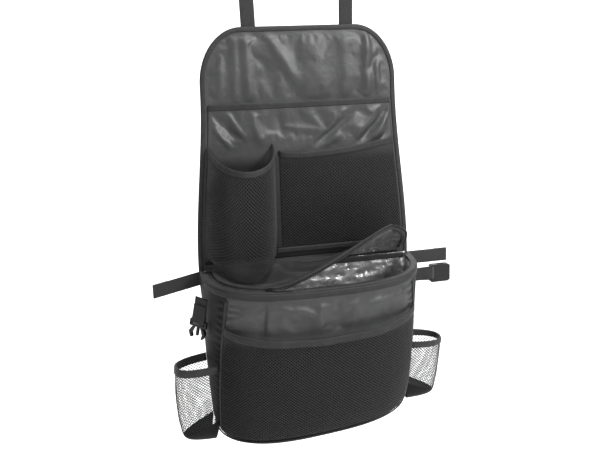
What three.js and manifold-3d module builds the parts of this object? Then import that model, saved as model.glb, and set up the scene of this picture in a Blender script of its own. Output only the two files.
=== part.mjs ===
// Car seat back organizer: a padded back panel that hangs from the headrest, with a document
// pocket, a bottle pocket and a flat pocket of net, and an insulated cooler box with a
// zip-up lid, a net front pocket and a net bottle holder on each side.
// Millimetres. +Z is up, +Y points at the seat, and +X is to the right as the rear passenger
// sees it. The origin lies on the panel's back face at its top edge, midway between the straps.
import * as THREE from 'three';
import { mergeVertices } from 'three/addons/utils/BufferGeometryUtils.js';
import Module from 'manifold-3d';

const wasm = await Module();
wasm.setup();

// Driving dimensions

const SEWN = 0.3; // gap left between two layers that are sewn together
const OVER = 0.6; // gap under a layer that lies on a curved one
const CLOTH = 1; // thickness of one layer of nylon or net
const BIND = 1.2; // thickness of the folded binding tape

const panel = {
  thickness: 2.4,
  height: 726,
  topHalf: 104, // half the straight top edge
  shoulderHalf: 182,
  shoulderDrop: 100, // depth of the round shoulder
  hipHalf: 205,
  hipDrop: 430,
  baseHalf: 188,
  baseRadius: 45,
  bindingWidth: 12,
};

const documentPocket = { mouth: 135, foot: 424, depth: 8, hemWidth: 9 };
const flatNet = { left: 221, right: 209, dip: 8, foot: 404, depth: 15, hemWidth: 9 };
const bottleNet = { mouth: 208, foot: 419, depth: 82, sag: 38, hang: 450, hemWidth: 9 };
const seamTape = { x: -52, width: 10 }; // the tape between the two net pockets

const cooler = {
  topHalf: 202,
  topDepth: 148,
  topRoundness: 3, // power of the box's D-shaped plan
  baseHalf: 187,
  baseDepth: 134,
  baseRoundness: 2.7,
  rim: 433, // drop of the rim at the panel
  rimTilt: THREE.MathUtils.degToRad(7),
  base: 708, // drop of the base at the panel
  baseTilt: THREE.MathUtils.degToRad(4),
  swell: 4, // how far the filled wall swells outwards at mid height
  edgeTuck: 8, // how far the wall turns in at the base
  wall: 4,
  liner: 0.8,
  sway: -7, // the hanging box leans this far to the left at its base
  slant: 28, // and hangs this much lower at the left of its base
  seamTop: 0.2, // where each corner seam starts and ends, as a share of the way round
  seamBase: 0.11,
  bindingWidth: 10,
};

const lid = {
  thickness: 3,
  lining: 0.8,
  inset: 20, // from the cooler's outer face to the lid's edge
  zipInset: 14, // and to the zip's chain
  bindingWidth: 7,
  shutBefore: -84, // the zip is shut to the left of this x
  openBy: 140, // and the lid stands at its full angle to the right of this x
  openAngle: THREE.MathUtils.degToRad(39),
  sag: 17, // the lid's hollow under the bottle pocket
  sagX: -115,
};

const frontNet = { left: 511, middle: 524, right: 510, foot: 0.955, mouth: 17, hemWidth: 10 };
const sideNet = { mouth: 594, foot: 692, out: 66, hang: 730, hemWidth: 10, rear: 0.012 };

const webbing = { width: 26, thickness: 1.6, fold: 28 };
const headrestStrap = { spacing: 180, rise: 112, sewnDrop: 46, splay: THREE.MathUtils.degToRad(1.2) };
const waistStrap = { drop: 450, reach: 290, droop: 17, droopFrom: -205 };
const buckle = { height: 36, thickness: 11, drop: 487, start: 254, socket: 42, plug: 22 };
const hangingStrap = {
  share: 0.1,
  drop: 462,
  length: 44,
  facing: THREE.MathUtils.degToRad(38),
  lean: THREE.MathUtils.degToRad(12),
};

// Colours

const finishes = {
  nylon: { color: 0x3a3b3e, roughness: 0.5 },
  net: { color: 0x1b1c1e, roughness: 0.8 },
  tape: { color: 0x232427, roughness: 0.75 },
  webbing: { color: 0x2b2b2c, roughness: 0.85 },
  foil: { color: 0xc9ccd0, roughness: 0.25, metalness: 0.9 },
  plastic: { color: 0x161617, roughness: 0.4 },
};
const materials = Object.fromEntries(
  Object.entries(finishes).map(([name, look]) => [
    name,
    new THREE.MeshStandardMaterial({ name, ...look }),
  ]),
);

const organizer = new THREE.Group();
organizer.name = 'car_seat_back_organizer';

function add(name, finish, geometry) {
  const mesh = new THREE.Mesh(geometry, materials[finish]);
  mesh.name = name;
  organizer.add(mesh);
  return mesh;
}

// Solids

const at = (x, y, z) => new THREE.Vector3(x, y, z);
const mix = THREE.MathUtils.lerp;
const clamp01 = (value) => THREE.MathUtils.clamp(value, 0, 1);
const ease = THREE.MathUtils.smoothstep;
const steps = (count) => Array.from({ length: count + 1 }, (_, k) => k / count);

function signedVolume(points, faces) {
  let sum = 0;
  const cross = new THREE.Vector3();
  for (const [a, b, c] of faces) {
    sum += points[a].dot(cross.crossVectors(points[b], points[c]));
  }
  return sum / 6;
}

// A closed body from its corners and triangles, with the faces turned to point out.
function body(points, faces) {
  if (signedVolume(points, faces) < 0) faces.forEach((face) => face.reverse());
  const geometry = new THREE.BufferGeometry().setFromPoints(points);
  geometry.setIndex(faces.flat());
  return geometry;
}

// Triangles that fill one flat outline, counter-clockwise in the outline's own plane.
function fill(outline) {
  const flat = outline.map(([a, b]) => new THREE.Vector2(a, b));
  const clockwise = THREE.ShapeUtils.area(flat) < 0;
  if (clockwise) flat.reverse();
  const own = (i) => (clockwise ? flat.length - 1 - i : i);
  return THREE.ShapeUtils.triangulateShape(flat, []).map((face) => face.map(own));
}

// A closed bar through a row of rings, each of which is the same outline bent into place.
function loft(rings, outline) {
  const count = outline.length;
  const last = (rings.length - 1) * count;
  const turn = THREE.ShapeUtils.area(outline.map(([x, y]) => ({ x, y }))) < 0;
  const faces = [];
  for (let k = 0; k < rings.length - 1; k += 1) {
    for (let i = 0; i < count; i += 1) {
      const a = k * count + i;
      const b = k * count + ((i + 1) % count);
      const quad = [[a, b, a + count], [b, b + count, a + count]];
      faces.push(...(turn ? quad.map((face) => face.reverse()) : quad));
    }
  }
  for (const [a, b, c] of fill(outline)) {
    faces.push([c, b, a], [last + a, last + b, last + c]);
  }
  return body(rings.flat(), faces);
}

// A bar along a row of frames: the outline's pairs run along each frame's side and up.
function sweep(frames, outline) {
  const ring = ({ origin, side, up }) =>
    outline.map(([a, b]) => origin.clone().addScaledVector(side, a).addScaledVector(up, b));
  return loft(frames.map(ring), outline);
}

// A tape folded over the mouth of a sheet, in line with the sheet's first row.
function foldOver({ us, vs, surface }, outline) {
  const place = (u, a, b) => {
    const [mouth, next] = [surface(u, vs[0], b), surface(u, vs[1], b)];
    return mouth.lerp(next, -a / mouth.distanceTo(next));
  };
  return loft(us.map((u) => outline.map(([a, b]) => place(u, a, b))), outline);
}

const CORNERS = [[0, 0], [1, 0], [1, 1], [0, 1]];
const TIPS = [[0, -1], [1, 0], [0, 1], [-1, 0]];

// A sheet of cloth between two layers of a surface, given by its columns and rows. opening is
// the share of each cell that a diamond-shaped gap takes, as in a net.
function sheet({ us, vs, surface, inner = 0, outer = CLOTH, opening = 0 }) {
  const points = [];
  const faces = [];
  const columns = us.length - 1;
  const rows = vs.length - 1;
  const corner = (skin, i, j) => (skin * (rows + 1) + j) * (columns + 1) + i;
  const layers = [outer, inner];
  for (const layer of layers) {
    for (const v of vs) {
      for (const u of us) points.push(surface(u, v, layer));
    }
  }
  const quad = (a, b, c, d) => faces.push([a, b, c], [a, c, d]);

  function closedCell(i, j) {
    const [front, back] = [0, 1].map((s) => CORNERS.map(([a, b]) => corner(s, i + a, j + b)));
    quad(...front);
    faces.push([back[2], back[1], back[0]], [back[3], back[2], back[0]]);
  }

  function openCell(i, j) {
    const tips = layers.map((_, s) => {
      const [a, b, c, d] = CORNERS.map(([di, dj]) => points[corner(s, i + di, j + dj)]);
      return TIPS.map(([du, dv]) => {
        const [u, v] = [0.5 + (du * opening) / 2, 0.5 + (dv * opening) / 2];
        const [top, foot] = [a.clone().lerp(b, u), d.clone().lerp(c, u)];
        return points.push(top.lerp(foot, v)) - 1;
      });
    });
    for (let k = 0; k < 4; k += 1) {
      const next = (k + 1) % 4;
      layers.forEach((_, s) => {
        const here = corner(s, i + CORNERS[k][0], j + CORNERS[k][1]);
        const there = corner(s, i + CORNERS[next][0], j + CORNERS[next][1]);
        const pair = [[here, there, tips[s][k]], [there, tips[s][next], tips[s][k]]];
        faces.push(...(s === 0 ? pair : pair.map((face) => face.reverse())));
      });
      quad(tips[0][k], tips[0][next], tips[1][next], tips[1][k]);
    }
  }

  for (let j = 0; j < rows; j += 1) {
    for (let i = 0; i < columns; i += 1) (opening ? openCell : closedCell)(i, j);
  }
  for (let i = 0; i < columns; i += 1) {
    quad(corner(0, i + 1, 0), corner(0, i, 0), corner(1, i, 0), corner(1, i + 1, 0));
    quad(corner(0, i, rows), corner(0, i + 1, rows), corner(1, i + 1, rows), corner(1, i, rows));
  }
  for (let j = 0; j < rows; j += 1) {
    quad(corner(0, 0, j), corner(0, 0, j + 1), corner(1, 0, j + 1), corner(1, 0, j));
    const [a, b] = [corner(0, columns, j), corner(0, columns, j + 1)];
    quad(b, a, corner(1, columns, j), corner(1, columns, j + 1));
  }
  return body(points, faces);
}

// An open-topped vessel between an outer and an inner stack of rings, with a floor.
function vessel(outerRings, innerRings) {
  const count = outerRings[0].length;
  const rows = outerRings.length;
  const points = [...outerRings.flat(), ...innerRings.flat()];
  const faces = [];
  const index = (skin, row, i) => (skin * rows + row) * count + (i % count);
  const quad = (a, b, c, d) => faces.push([a, b, c], [a, c, d]);
  for (let i = 0; i < count; i += 1) {
    for (let row = 0; row < rows - 1; row += 1) {
      quad(index(0, row, i), index(0, row, i + 1), index(0, row + 1, i + 1), index(0, row + 1, i));
      const [a, b] = [index(1, row, i), index(1, row, i + 1)];
      const [c, d] = [index(1, row + 1, i + 1), index(1, row + 1, i)];
      faces.push([c, b, a], [d, c, a]);
    }
    quad(index(0, 0, i + 1), index(0, 0, i), index(1, 0, i), index(1, 0, i + 1));
  }
  const outline = outerRings[rows - 1].map(({ x, y }) => [x, y]);
  const turn = THREE.ShapeUtils.area(outline.map(([x, y]) => ({ x, y }))) < 0;
  for (const [a, b, c] of fill(outline)) {
    const outerFace = [index(0, rows - 1, a), index(0, rows - 1, b), index(0, rows - 1, c)];
    const innerFace = [index(1, rows - 1, a), index(1, rows - 1, b), index(1, rows - 1, c)];
    faces.push(turn ? outerFace.reverse() : outerFace, turn ? innerFace : innerFace.reverse());
  }
  return body(points, faces);
}

function toManifold(geometry) {
  const bare = geometry.clone();
  bare.deleteAttribute('normal');
  bare.deleteAttribute('uv');
  const merged = mergeVertices(bare, 1e-4);
  return new wasm.Manifold(
    new wasm.Mesh({
      numProp: 3,
      vertProperties: new Float32Array(merged.attributes.position.array),
      triVerts: new Uint32Array(merged.index.array),
    }),
  );
}

function toGeometry(manifold) {
  const { vertProperties, triVerts } = manifold.getMesh();
  const geometry = new THREE.BufferGeometry();
  geometry.setAttribute('position', new THREE.BufferAttribute(new Float32Array(vertProperties), 3));
  geometry.setIndex([...triVerts]);
  return geometry;
}

function cut(geometry, ...tools) {
  const rest = tools.reduce((solid, tool) => solid.subtract(toManifold(tool)), toManifold(geometry));
  return toGeometry(rest);
}

function join(...geometries) {
  return toGeometry(wasm.Manifold.union(geometries.map(toManifold)));
}

// A slab standing in the XZ plane, from its outline towards the passenger.
function upright(shape, depth, fromY = 0) {
  const geometry = new THREE.ExtrudeGeometry(shape, { depth, bevelEnabled: false });
  return geometry.rotateX(Math.PI / 2).translate(0, fromY, 0);
}

function block([x0, x1], [y0, y1], [z0, z1]) {
  const geometry = new THREE.BoxGeometry(x1 - x0, y1 - y0, z1 - z0);
  return geometry.translate((x0 + x1) / 2, (y0 + y1) / 2, (z0 + z1) / 2);
}

// A band of webbing seen edge on: its path, thickened, and drawn out to its width.
function ribbon(path, thickness, width) {
  const points = path.map(([a, b]) => new THREE.Vector2(a, b));
  const normalOf = (a, b) => new THREE.Vector2(a.y - b.y, b.x - a.x).normalize();
  const edge = (sign) =>
    points.map((point, k) => {
      const before = normalOf(points[Math.max(k - 1, 0)], points[Math.max(k, 1)]);
      const after = normalOf(
        points[Math.min(k, points.length - 2)],
        points[Math.min(k + 1, points.length - 1)],
      );
      const mitre = before.clone().add(after).normalize();
      const reach = (sign * thickness) / 2 / mitre.dot(before);
      return point.clone().addScaledVector(mitre, reach);
    });
  const shape = new THREE.Shape([...edge(1), ...edge(-1).reverse()]);
  return new THREE.ExtrudeGeometry(shape, { depth: width, bevelEnabled: false }).translate(0, 0, -width / 2);
}

function bend(geometry, move) {
  const position = geometry.attributes.position;
  for (let i = 0; i < position.count; i += 1) {
    const moved = move(at(position.getX(i), position.getY(i), position.getZ(i)));
    position.setXYZ(i, moved.x, moved.y, moved.z);
  }
  return geometry;
}

// The outline of a tape folded over an edge: a U that is open towards negative side values.
function foldedTape(legs, slotLow, slotHigh, thickness = BIND) {
  return [
    [-legs, slotLow - thickness],
    [SEWN + thickness, slotLow - thickness],
    [SEWN + thickness, slotHigh + thickness],
    [-legs, slotHigh + thickness],
    [-legs, slotHigh],
    [SEWN, slotHigh],
    [SEWN, slotLow],
    [-legs, slotLow],
  ];
}

// Back panel

// The drops at which the panel's sides have a corner of their outline, and the width there.
const sideStations = (() => {
  const { shoulderHalf, shoulderDrop, hipHalf, hipDrop, baseHalf, baseRadius, height } = panel;
  const foot = height - baseRadius;
  const upper = steps(4).map((share) => ({
    drop: mix(shoulderDrop, hipDrop, share),
    half: mix(shoulderHalf, hipHalf, ease(share, 0, 1)),
  }));
  const lower = steps(3).slice(1).map((share) => ({
    drop: mix(hipDrop, foot, share),
    half: mix(hipHalf, baseHalf, ease(share, 0, 1)),
  }));
  return [...upper, ...lower];
})();

// Half the panel's width at a drop below its top edge, down its straight sides.
function halfWidth(drop) {
  const next = sideStations.findIndex((station) => station.drop >= drop);
  if (next === 0) return sideStations[0].half;
  if (next < 0) return sideStations.at(-1).half;
  const [a, b] = [sideStations[next - 1], sideStations[next]];
  return mix(a.half, b.half, (drop - a.drop) / (b.drop - a.drop));
}

function panelOutline(inset) {
  const { height, topHalf, shoulderHalf, shoulderDrop, baseRadius } = panel;
  const quarter = Math.PI / 2;
  const cornerDrop = height - baseRadius;
  const cornerHalf = halfWidth(cornerDrop) - baseRadius;
  const right = steps(4).map((share) => {
    const radius = baseRadius - inset;
    const turn = quarter * share;
    return [cornerHalf + radius * Math.sin(turn), -cornerDrop - radius * Math.cos(turn)];
  });
  for (const { drop, half } of sideStations.slice(1, -1).reverse()) {
    right.push([half - inset, -drop]);
  }
  for (const share of steps(6)) {
    const turn = quarter * share;
    const reach = shoulderHalf - topHalf - inset;
    const rise = shoulderDrop - inset;
    right.push([topHalf + reach * Math.cos(turn), -shoulderDrop + rise * Math.sin(turn)]);
  }
  const left = right.map(([x, z]) => [-x, z]).reverse();
  return new THREE.Shape([...right, ...left].map(([x, z]) => new THREE.Vector2(x, z)));
}

const panelFront = -panel.thickness;

add('back_panel', 'nylon', upright(panelOutline(BIND + SEWN), panel.thickness));

const bindingRing = panelOutline(0);
bindingRing.holes.push(panelOutline(panel.bindingWidth));
const bindingBack = SEWN + BIND;
add(
  'edge_binding',
  'tape',
  cut(
    upright(bindingRing, panel.thickness + 2 * bindingBack, bindingBack),
    upright(panelOutline(BIND), panel.thickness + 2 * SEWN, SEWN),
  ),
);

// Document pocket

const seamHalf = (drop) => halfWidth(drop) - panel.bindingWidth - OVER;

// The pocket's back layer at a drop below the panel's top edge; u runs from seam to seam.
function documentPoint(u, drop, layer) {
  const across = 2 * u - 1;
  const x = across * seamHalf(drop);
  const down = clamp01((drop - documentPocket.mouth) / (documentPocket.foot - documentPocket.mouth));
  const slack = documentPocket.depth * (1 - across ** 4) * (1 - down ** 2);
  const fold = Math.sin(x / 23 + drop / 30) * (1 - across ** 2) * (1 - ease(down, 0.05, 0.3));
  const hemRoom = BIND * (1 - ease(down, 0.04, 0.15));
  return at(x, panelFront - SEWN - hemRoom - Math.max(0, slack + 1.3 * fold) - layer, -drop);
}

const documentColumns = steps(14);
const documentRows = [0, 0.05, 0.11, 0.19, 0.28, 0.42, 0.58, 0.78, 1].map((share) =>
  mix(documentPocket.mouth, documentPocket.foot, share),
);
const documentSheet = { us: documentColumns, vs: documentRows, surface: documentPoint };
add('document_pocket', 'nylon', sheet(documentSheet));

const thinFold = (hemWidth, thickness) => foldedTape(hemWidth, -SEWN, CLOTH + SEWN, thickness);
add(
  'document_pocket_hem',
  'tape',
  foldOver(documentSheet, thinFold(documentPocket.hemWidth, BIND / 2)),
);

// Net pockets on the document pocket

// The point that stands off the document pocket's face at an x and a drop.
function onDocument(x, drop, standOff) {
  const u = (x / seamHalf(drop) + 1) / 2;
  return documentPoint(u, drop, CLOTH + OVER + standOff);
}

const flatNetLeft = seamTape.x + seamTape.width / 2 + SEWN;

// u runs from the divider tape to the right seam, v from the dipping mouth to the foot.
function flatNetPoint(u, v, layer) {
  const mouth = mix(flatNet.left, flatNet.right, u) + flatNet.dip * Math.sin(Math.PI * clamp01(u) ** 0.58);
  const drop = mix(mouth, flatNet.foot, v);
  const x = mix(flatNetLeft, seamHalf(drop), u);
  const slack = flatNet.depth * Math.sin(Math.PI * clamp01(u)) ** 0.7 * (1 - clamp01(v) ** 3);
  const hemRoom = BIND * (1 - ease(v, 0.04, 0.2));
  return onDocument(x, drop, hemRoom + slack + layer);
}

const netOpening = 0.78;
const flatNetSheet = {
  us: steps(6),
  vs: steps(5),
  surface: flatNetPoint,
  opening: netOpening,
};
add('flat_pocket_net', 'net', sheet(flatNetSheet));
add(
  'flat_pocket_binding',
  'tape',
  foldOver(flatNetSheet, thinFold(flatNet.hemWidth, BIND / 2)),
);

const tapeBand = { inner: 0, outer: CLOTH };
add(
  'net_divider_tape',
  'tape',
  sheet({
    ...tapeBand,
    us: steps(1),
    vs: steps(6).map((share) => mix(flatNet.left + 6, flatNet.foot, share)),
    surface: (u, drop, layer) => onDocument(seamTape.x + (u - 0.5) * seamTape.width, drop, layer),
  }),
);
add(
  'net_foot_tape',
  'tape',
  sheet({
    ...tapeBand,
    us: steps(10),
    vs: [flatNet.foot + SEWN, flatNet.foot + SEWN + seamTape.width],
    surface: (u, drop, layer) =>
      onDocument(mix(seamTape.x - seamTape.width / 2, seamHalf(drop), u), drop, layer),
  }),
);

// A net pouch hung between two seams. profile gives how far its middle stands out and how
// far it hangs below the seams at a share of the way down them.
function pouch({ left, right, outward, profile, squareness }) {
  const power = 1 / squareness;
  function point(u, v) {
    const turn = Math.PI * clamp01(u);
    const across = -Math.sign(Math.cos(turn)) * Math.abs(Math.cos(turn)) ** power;
    const bow = Math.max(Math.sin(turn), 0) ** power;
    const { x: out, y: hang } = profile.getPoint(clamp01(v));
    return left(v)
      .lerp(right(v), (across + 1) / 2)
      .addScaledVector(outward, out * bow)
      .add(at(0, 0, -hang * bow));
  }
  return (u, v, layer) => {
    const [u0, u1] = [Math.max(u - 0.01, 0), Math.min(u + 0.01, 1)];
    const [v0, v1] = v > 0.99 ? [0.98, 1] : [v, v + 0.01];
    const along = point(u1, v).sub(point(u0, v));
    const down = point(u, v1).sub(point(u, v0));
    return point(u, v).addScaledVector(down.cross(along).normalize(), layer);
  };
}

const profileOf = (pairs) => new THREE.SplineCurve(pairs.map(([a, b]) => new THREE.Vector2(a, b)));

const bottleSeamDrop = (v) => mix(bottleNet.mouth, bottleNet.foot, v);
const bottleHang = (drop, v) => drop - bottleSeamDrop(v);
const bottleSurface = pouch({
  left: (v) => onDocument(-seamHalf(bottleSeamDrop(v)) + CLOTH, bottleSeamDrop(v), 0),
  right: (v) => onDocument(seamTape.x - seamTape.width / 2 - SEWN - CLOTH, bottleSeamDrop(v), 0),
  outward: at(0, -1, 0),
  squareness: 1,
  profile: profileOf([
    [bottleNet.depth - 3, bottleNet.sag],
    [bottleNet.depth, bottleHang(292, 1 / 7)],
    [bottleNet.depth + 1, bottleHang(338, 2 / 7)],
    [bottleNet.depth + 1, bottleHang(384, 3 / 7)],
    [bottleNet.depth - 4, bottleHang(424, 4 / 7)],
    [bottleNet.depth - 18, bottleHang(bottleNet.hang - 2, 5 / 7)],
    [bottleNet.depth - 46, bottleHang(bottleNet.hang - 12, 6 / 7)],
    [0, 0],
  ]),
});
const bottleSheet = { us: steps(6), vs: steps(7), surface: bottleSurface, opening: netOpening };
add('bottle_pocket_net', 'net', sheet(bottleSheet));
add('bottle_pocket_rim', 'tape', foldOver(bottleSheet, thinFold(bottleNet.hemWidth, BIND / 2)));

// Cooler box

const boxBack = panelFront - SEWN - BIND - SEWN; // the box is sewn on over the edge binding

// The box's face at a turn round its D-shaped plan, from 0 at the left seam to 1 at the right
// one, and at a share of the way down; inset moves the face inwards.
function boxFace(turn, down, inset) {
  const angle = Math.PI * turn;
  const power = 2 / mix(cooler.topRoundness, cooler.baseRoundness, down);
  const cosine = Math.sign(Math.cos(angle)) * Math.abs(Math.cos(angle)) ** power;
  const sine = Math.max(Math.sin(angle), 0) ** power;
  const tuck = cooler.edgeTuck * clamp01((down - 0.93) / 0.07) ** 2;
  const reach = cooler.swell * Math.sin(Math.PI * clamp01(down)) - tuck - inset;
  const half = mix(cooler.topHalf, cooler.baseHalf, down) + reach;
  const backStep = Math.max(inset, 0);
  const depth = mix(cooler.topDepth, cooler.baseDepth, down) + reach - backStep;
  const foldBand = ease(down, 0.1, 0.2) * (1 - ease(down, 0.22, 0.4));
  const fold = 1.8 * Math.sin(cosine * 15 + 0.7) * foldBand * sine ** 6;
  const y = boxBack - backStep - sine * depth - fold;
  const tilt = Math.tan(mix(cooler.rimTilt, cooler.baseTilt, down));
  const slant = (cooler.slant * clamp01(down) * (1 + cosine)) / 2;
  const z = -mix(cooler.rim, cooler.base, down) + (y - boxBack) * tilt + backStep * clamp01(down) - slant;
  return at(-cosine * half + cooler.sway * down, y, z);
}

// Turns that stand evenly spaced round the plan.
const turnTable = (() => {
  const turns = steps(400);
  const lengths = [0];
  for (let k = 1; k < turns.length; k += 1) {
    const [a, b] = [boxFace(turns[k - 1], 0.5, 0), boxFace(turns[k], 0.5, 0)];
    lengths.push(lengths[k - 1] + Math.hypot(b.x - a.x, b.y - a.y));
  }
  return { turns, lengths, total: lengths.at(-1) };
})();

function turnAt(share) {
  const { turns, lengths, total } = turnTable;
  const wanted = clamp01(share) * total;
  const k = Math.max(1, lengths.findIndex((length) => length >= wanted));
  const part = (wanted - lengths[k - 1]) / (lengths[k] - lengths[k - 1]);
  return mix(turns[k - 1], turns[k], part);
}

const boxShares = steps(26);
const boxDowns = [0, 0.1, 0.2, 0.36, 0.6, 0.85, 0.95, 1];

// A point of the box's face at a share of the way round and of the way down, in line with
// the flat facets that the wall is built of.
function onBox(share, down, inset = 0) {
  const column = Math.min(boxShares.length - 2, Math.floor(clamp01(share) * (boxShares.length - 1)));
  const row = Math.max(0, boxDowns.findLastIndex((value, k) => k < boxDowns.length - 1 && value <= down));
  const across = clamp01(share) * (boxShares.length - 1) - column;
  const along = (down - boxDowns[row]) / (boxDowns[row + 1] - boxDowns[row]);
  const face = (i, j) => boxFace(turnAt(boxShares[i]), boxDowns[j], inset);
  const upper = face(column, row).lerp(face(column + 1, row), across);
  const lower = face(column, row + 1).lerp(face(column + 1, row + 1), across);
  return upper.lerp(lower, along);
}

const backShares = steps(5).slice(1, -1);

function boxRings(inset) {
  return boxDowns.map((down) => {
    const front = boxShares.map((share) => onBox(share, down, inset));
    const [first, last] = [front[0], front.at(-1)];
    return [...front, ...backShares.map((share) => last.clone().lerp(first, share))];
  });
}

const linerOuter = cooler.wall + SEWN;
const linerInner = linerOuter + cooler.liner;
add('cooler_box', 'nylon', vessel(boxRings(0), boxRings(cooler.wall)));
add('foil_liner', 'foil', vessel(boxRings(linerOuter), boxRings(linerInner)));

const rimSheet = {
  us: [0.012, ...boxShares.slice(1, -1), 0.988],
  vs: boxDowns,
  surface: (share, down, layer) => onBox(share, down, -layer),
};
add(
  'rim_binding',
  'tape',
  foldOver(rimSheet, foldedTape(cooler.bindingWidth, -linerInner - SEWN, SEWN)),
);

// Lid: every piece of it is laid out flat in the plane of the rim and then lifted.

const liningTop = -lid.thickness - SEWN;
const liningFoot = liningTop - lid.lining;
const hinge = { y: boxBack, z: -cooler.rim - liningFoot + SEWN };

function lidAngle(x) {
  const share = clamp01((x - lid.shutBefore) / (lid.openBy - lid.shutBefore));
  return mix(-cooler.rimTilt, lid.openAngle, share ** 1.2);
}

// The lid's outline in the rim's plane, a way in from the box's face.
function lidEdge(u, inset) {
  const cosine = Math.cos(Math.PI * u);
  const half = cooler.topHalf - inset;
  const depth = cooler.topDepth - 2 * inset;
  const bulge = Math.max(0, 1 - Math.abs(cosine) ** cooler.topRoundness) ** (1 / cooler.topRoundness);
  return at(-cosine * half, boxBack - inset - bulge * depth, 0);
}

// How far the lid reaches from its hinge to its edge at an x.
function lidReach(x) {
  const rest = Math.max(0, 1 - (Math.abs(x) / (cooler.topHalf - lid.inset)) ** cooler.topRoundness);
  return lid.inset + (cooler.topDepth - 2 * lid.inset) * rest ** (1 / cooler.topRoundness);
}

const flatRim = lid.bindingWidth + 2.5; // the lid stays flat this far in from its edge

// The soft hollow that the bottle pocket presses into the lid.
function lidSag(x, reach) {
  const along = clamp01((reach - flatRim) / (lidReach(x) - 2 * flatRim));
  const around = Math.exp(-(((x - lid.sagX) / 62) ** 2)) * (1 - ease(Math.abs(x), 150, 171));
  return lid.sag * around * Math.sin(Math.PI * along) ** 1.3;
}

// A flat point with its layer as z, turned about the hinge line.
function turned(point, angle, sag) {
  const reach = (hinge.y - point.y) / Math.cos(cooler.rimTilt);
  const height = point.z - sag;
  const [cosine, sine] = [Math.cos(angle), Math.sin(angle)];
  return at(point.x, hinge.y - reach * cosine + height * sine, hinge.z + reach * sine + height * cosine);
}

const lifted = (point) => turned(point, lidAngle(point.x), lidSag(point.x, hinge.y - point.y));
const shut = (point) => turned(point, -cooler.rimTilt, 0);

// Frames along a path in the lid's plane; side points away from the lid.
function pathFrames(path) {
  return path.map((origin, k) => {
    const before = path[Math.max(k - 1, 0)];
    const after = path[Math.min(k + 1, path.length - 1)];
    const along = after.clone().sub(before).normalize();
    return { origin, side: at(along.y, -along.x, 0), up: at(0, 0, 1) };
  });
}

const lidColumns = steps(18);
const lidPath = lidColumns.map((u) => lidEdge(u, lid.inset));

// The lid's rows: two flat ones along the hinge and the edge, and the soft ones between.
const lidRows = [
  () => 0,
  () => flatRim,
  ...[1 / 3, 2 / 3].map((share) => (length) => mix(flatRim, length - flatRim, share)),
  (length) => length - flatRim,
  (length) => length,
].map((row) => (length) => Math.max(0, row(length)));

function lidSheet(inner, outer) {
  const surface = (k, row, layer) => {
    const edge = lidPath[k];
    const length = hinge.y - edge.y;
    const reach = length > 3 * flatRim ? row(length) : (length * lidRows.indexOf(row)) / (lidRows.length - 1);
    return lifted(at(edge.x, hinge.y - reach, layer));
  };
  return sheet({ us: lidPath.map((_, k) => k), vs: lidRows, surface, inner, outer });
}

add('lid', 'nylon', lidSheet(-lid.thickness, 0));
add('lid_lining', 'foil', lidSheet(liningFoot, liningTop));

const lidEnd = (point) => at(point.x, hinge.y - linerInner - CLOTH, 0);
const lidFrames = pathFrames([lidEnd(lidPath[0]), ...lidPath, lidEnd(lidPath.at(-1))]);
const lidWrap = foldedTape(lid.bindingWidth, liningFoot - OVER, OVER + 0.5);
add('lid_binding', 'tape', bend(sweep(lidFrames, lidWrap), lifted));

// Each half of the zip is a tape with a bead of teeth along its free edge.
const zipLayer = -2.2;
const zipFrom = lid.inset - lid.zipInset; // from the lid's edge to the zip's chain
function zipHalf(sign, end) {
  const bead = [
    [0.2, -1.1],
    [1.6, -1.1],
    [1.6, -0.4],
  ].map(([a, b]) => [zipFrom + sign * a, b]);
  const outline = [...bead, [end, -0.4], [end, 0.4], ...bead.reverse().map(([a, b]) => [a, -b])];
  return outline.map(([a, b]) => [a, zipLayer + b]);
}
const zipFrames = lidFrames.slice(1, -1);
add('rim_zip_tape', 'tape', bend(sweep(zipFrames, zipHalf(1, lid.inset - 1)), shut));
add('lid_zip_tape', 'tape', bend(sweep(zipFrames, zipHalf(-1, SEWN + BIND + SEWN)), lifted));

// The slider stands at the end of the shut stretch, and its pull lies along the rim.
const sliderU = Math.acos(-(lid.shutBefore - 15) / (cooler.topHalf - lid.zipInset)) / Math.PI;
const sliderAt = lidEdge(sliderU, lid.zipInset);
const sliderAlong = lidEdge(sliderU + 0.01, lid.zipInset).sub(lidEdge(sliderU - 0.01, lid.zipInset));
const sliderTurn = Math.atan2(sliderAlong.y, sliderAlong.x);
const onZip = (geometry) =>
  bend(geometry.rotateZ(sliderTurn).translate(sliderAt.x, sliderAt.y, 0), shut);
add(
  'zip_slider',
  'plastic',
  onZip(
    join(
      block([-6, 6], [-4, 4], [-0.8, 0.8]),
      block([-3.5, 4.5], [-1.5, 1.5], [0.7, 3.2]),
    ),
  ),
);
add('zip_pull', 'tape', onZip(block([6.3, 40], [-7.5, -1.5], [-0.8, 0.6])));

// Corner seams, base piping and front pocket

const seamShare = (down) => mix(cooler.seamTop, cooler.seamBase, down);
const mirrored = (share, side) => (side < 0 ? share : 1 - share);
const sides = [
  { name: 'left', side: -1 },
  { name: 'right', side: 1 },
];

const seamHalfShare = 2.6 / turnTable.total;
for (const { name, side } of sides) {
  add(
    `corner_seam_${name}`,
    'tape',
    sheet({
      us: steps(2),
      vs: [0.055, ...boxDowns.slice(1, -1)],
      inner: OVER + 0.3,
      outer: OVER + 1.7,
      surface: (u, v, layer) =>
        onBox(mirrored(seamShare(v), side) + (2 * u - 1) * seamHalfShare, v, -layer),
    }),
  );
}

const pipingSize = 3.2;
const pipingOutline = [
  [0.985, 0],
  [0.985, pipingSize],
  [0.972, pipingSize],
  [0.972, 0],
];
add(
  'base_piping',
  'tape',
  loft(
    rimSheet.us.map((share) => pipingOutline.map(([down, out]) => onBox(share, down, -OVER - out))),
    pipingOutline,
  ),
);

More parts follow.
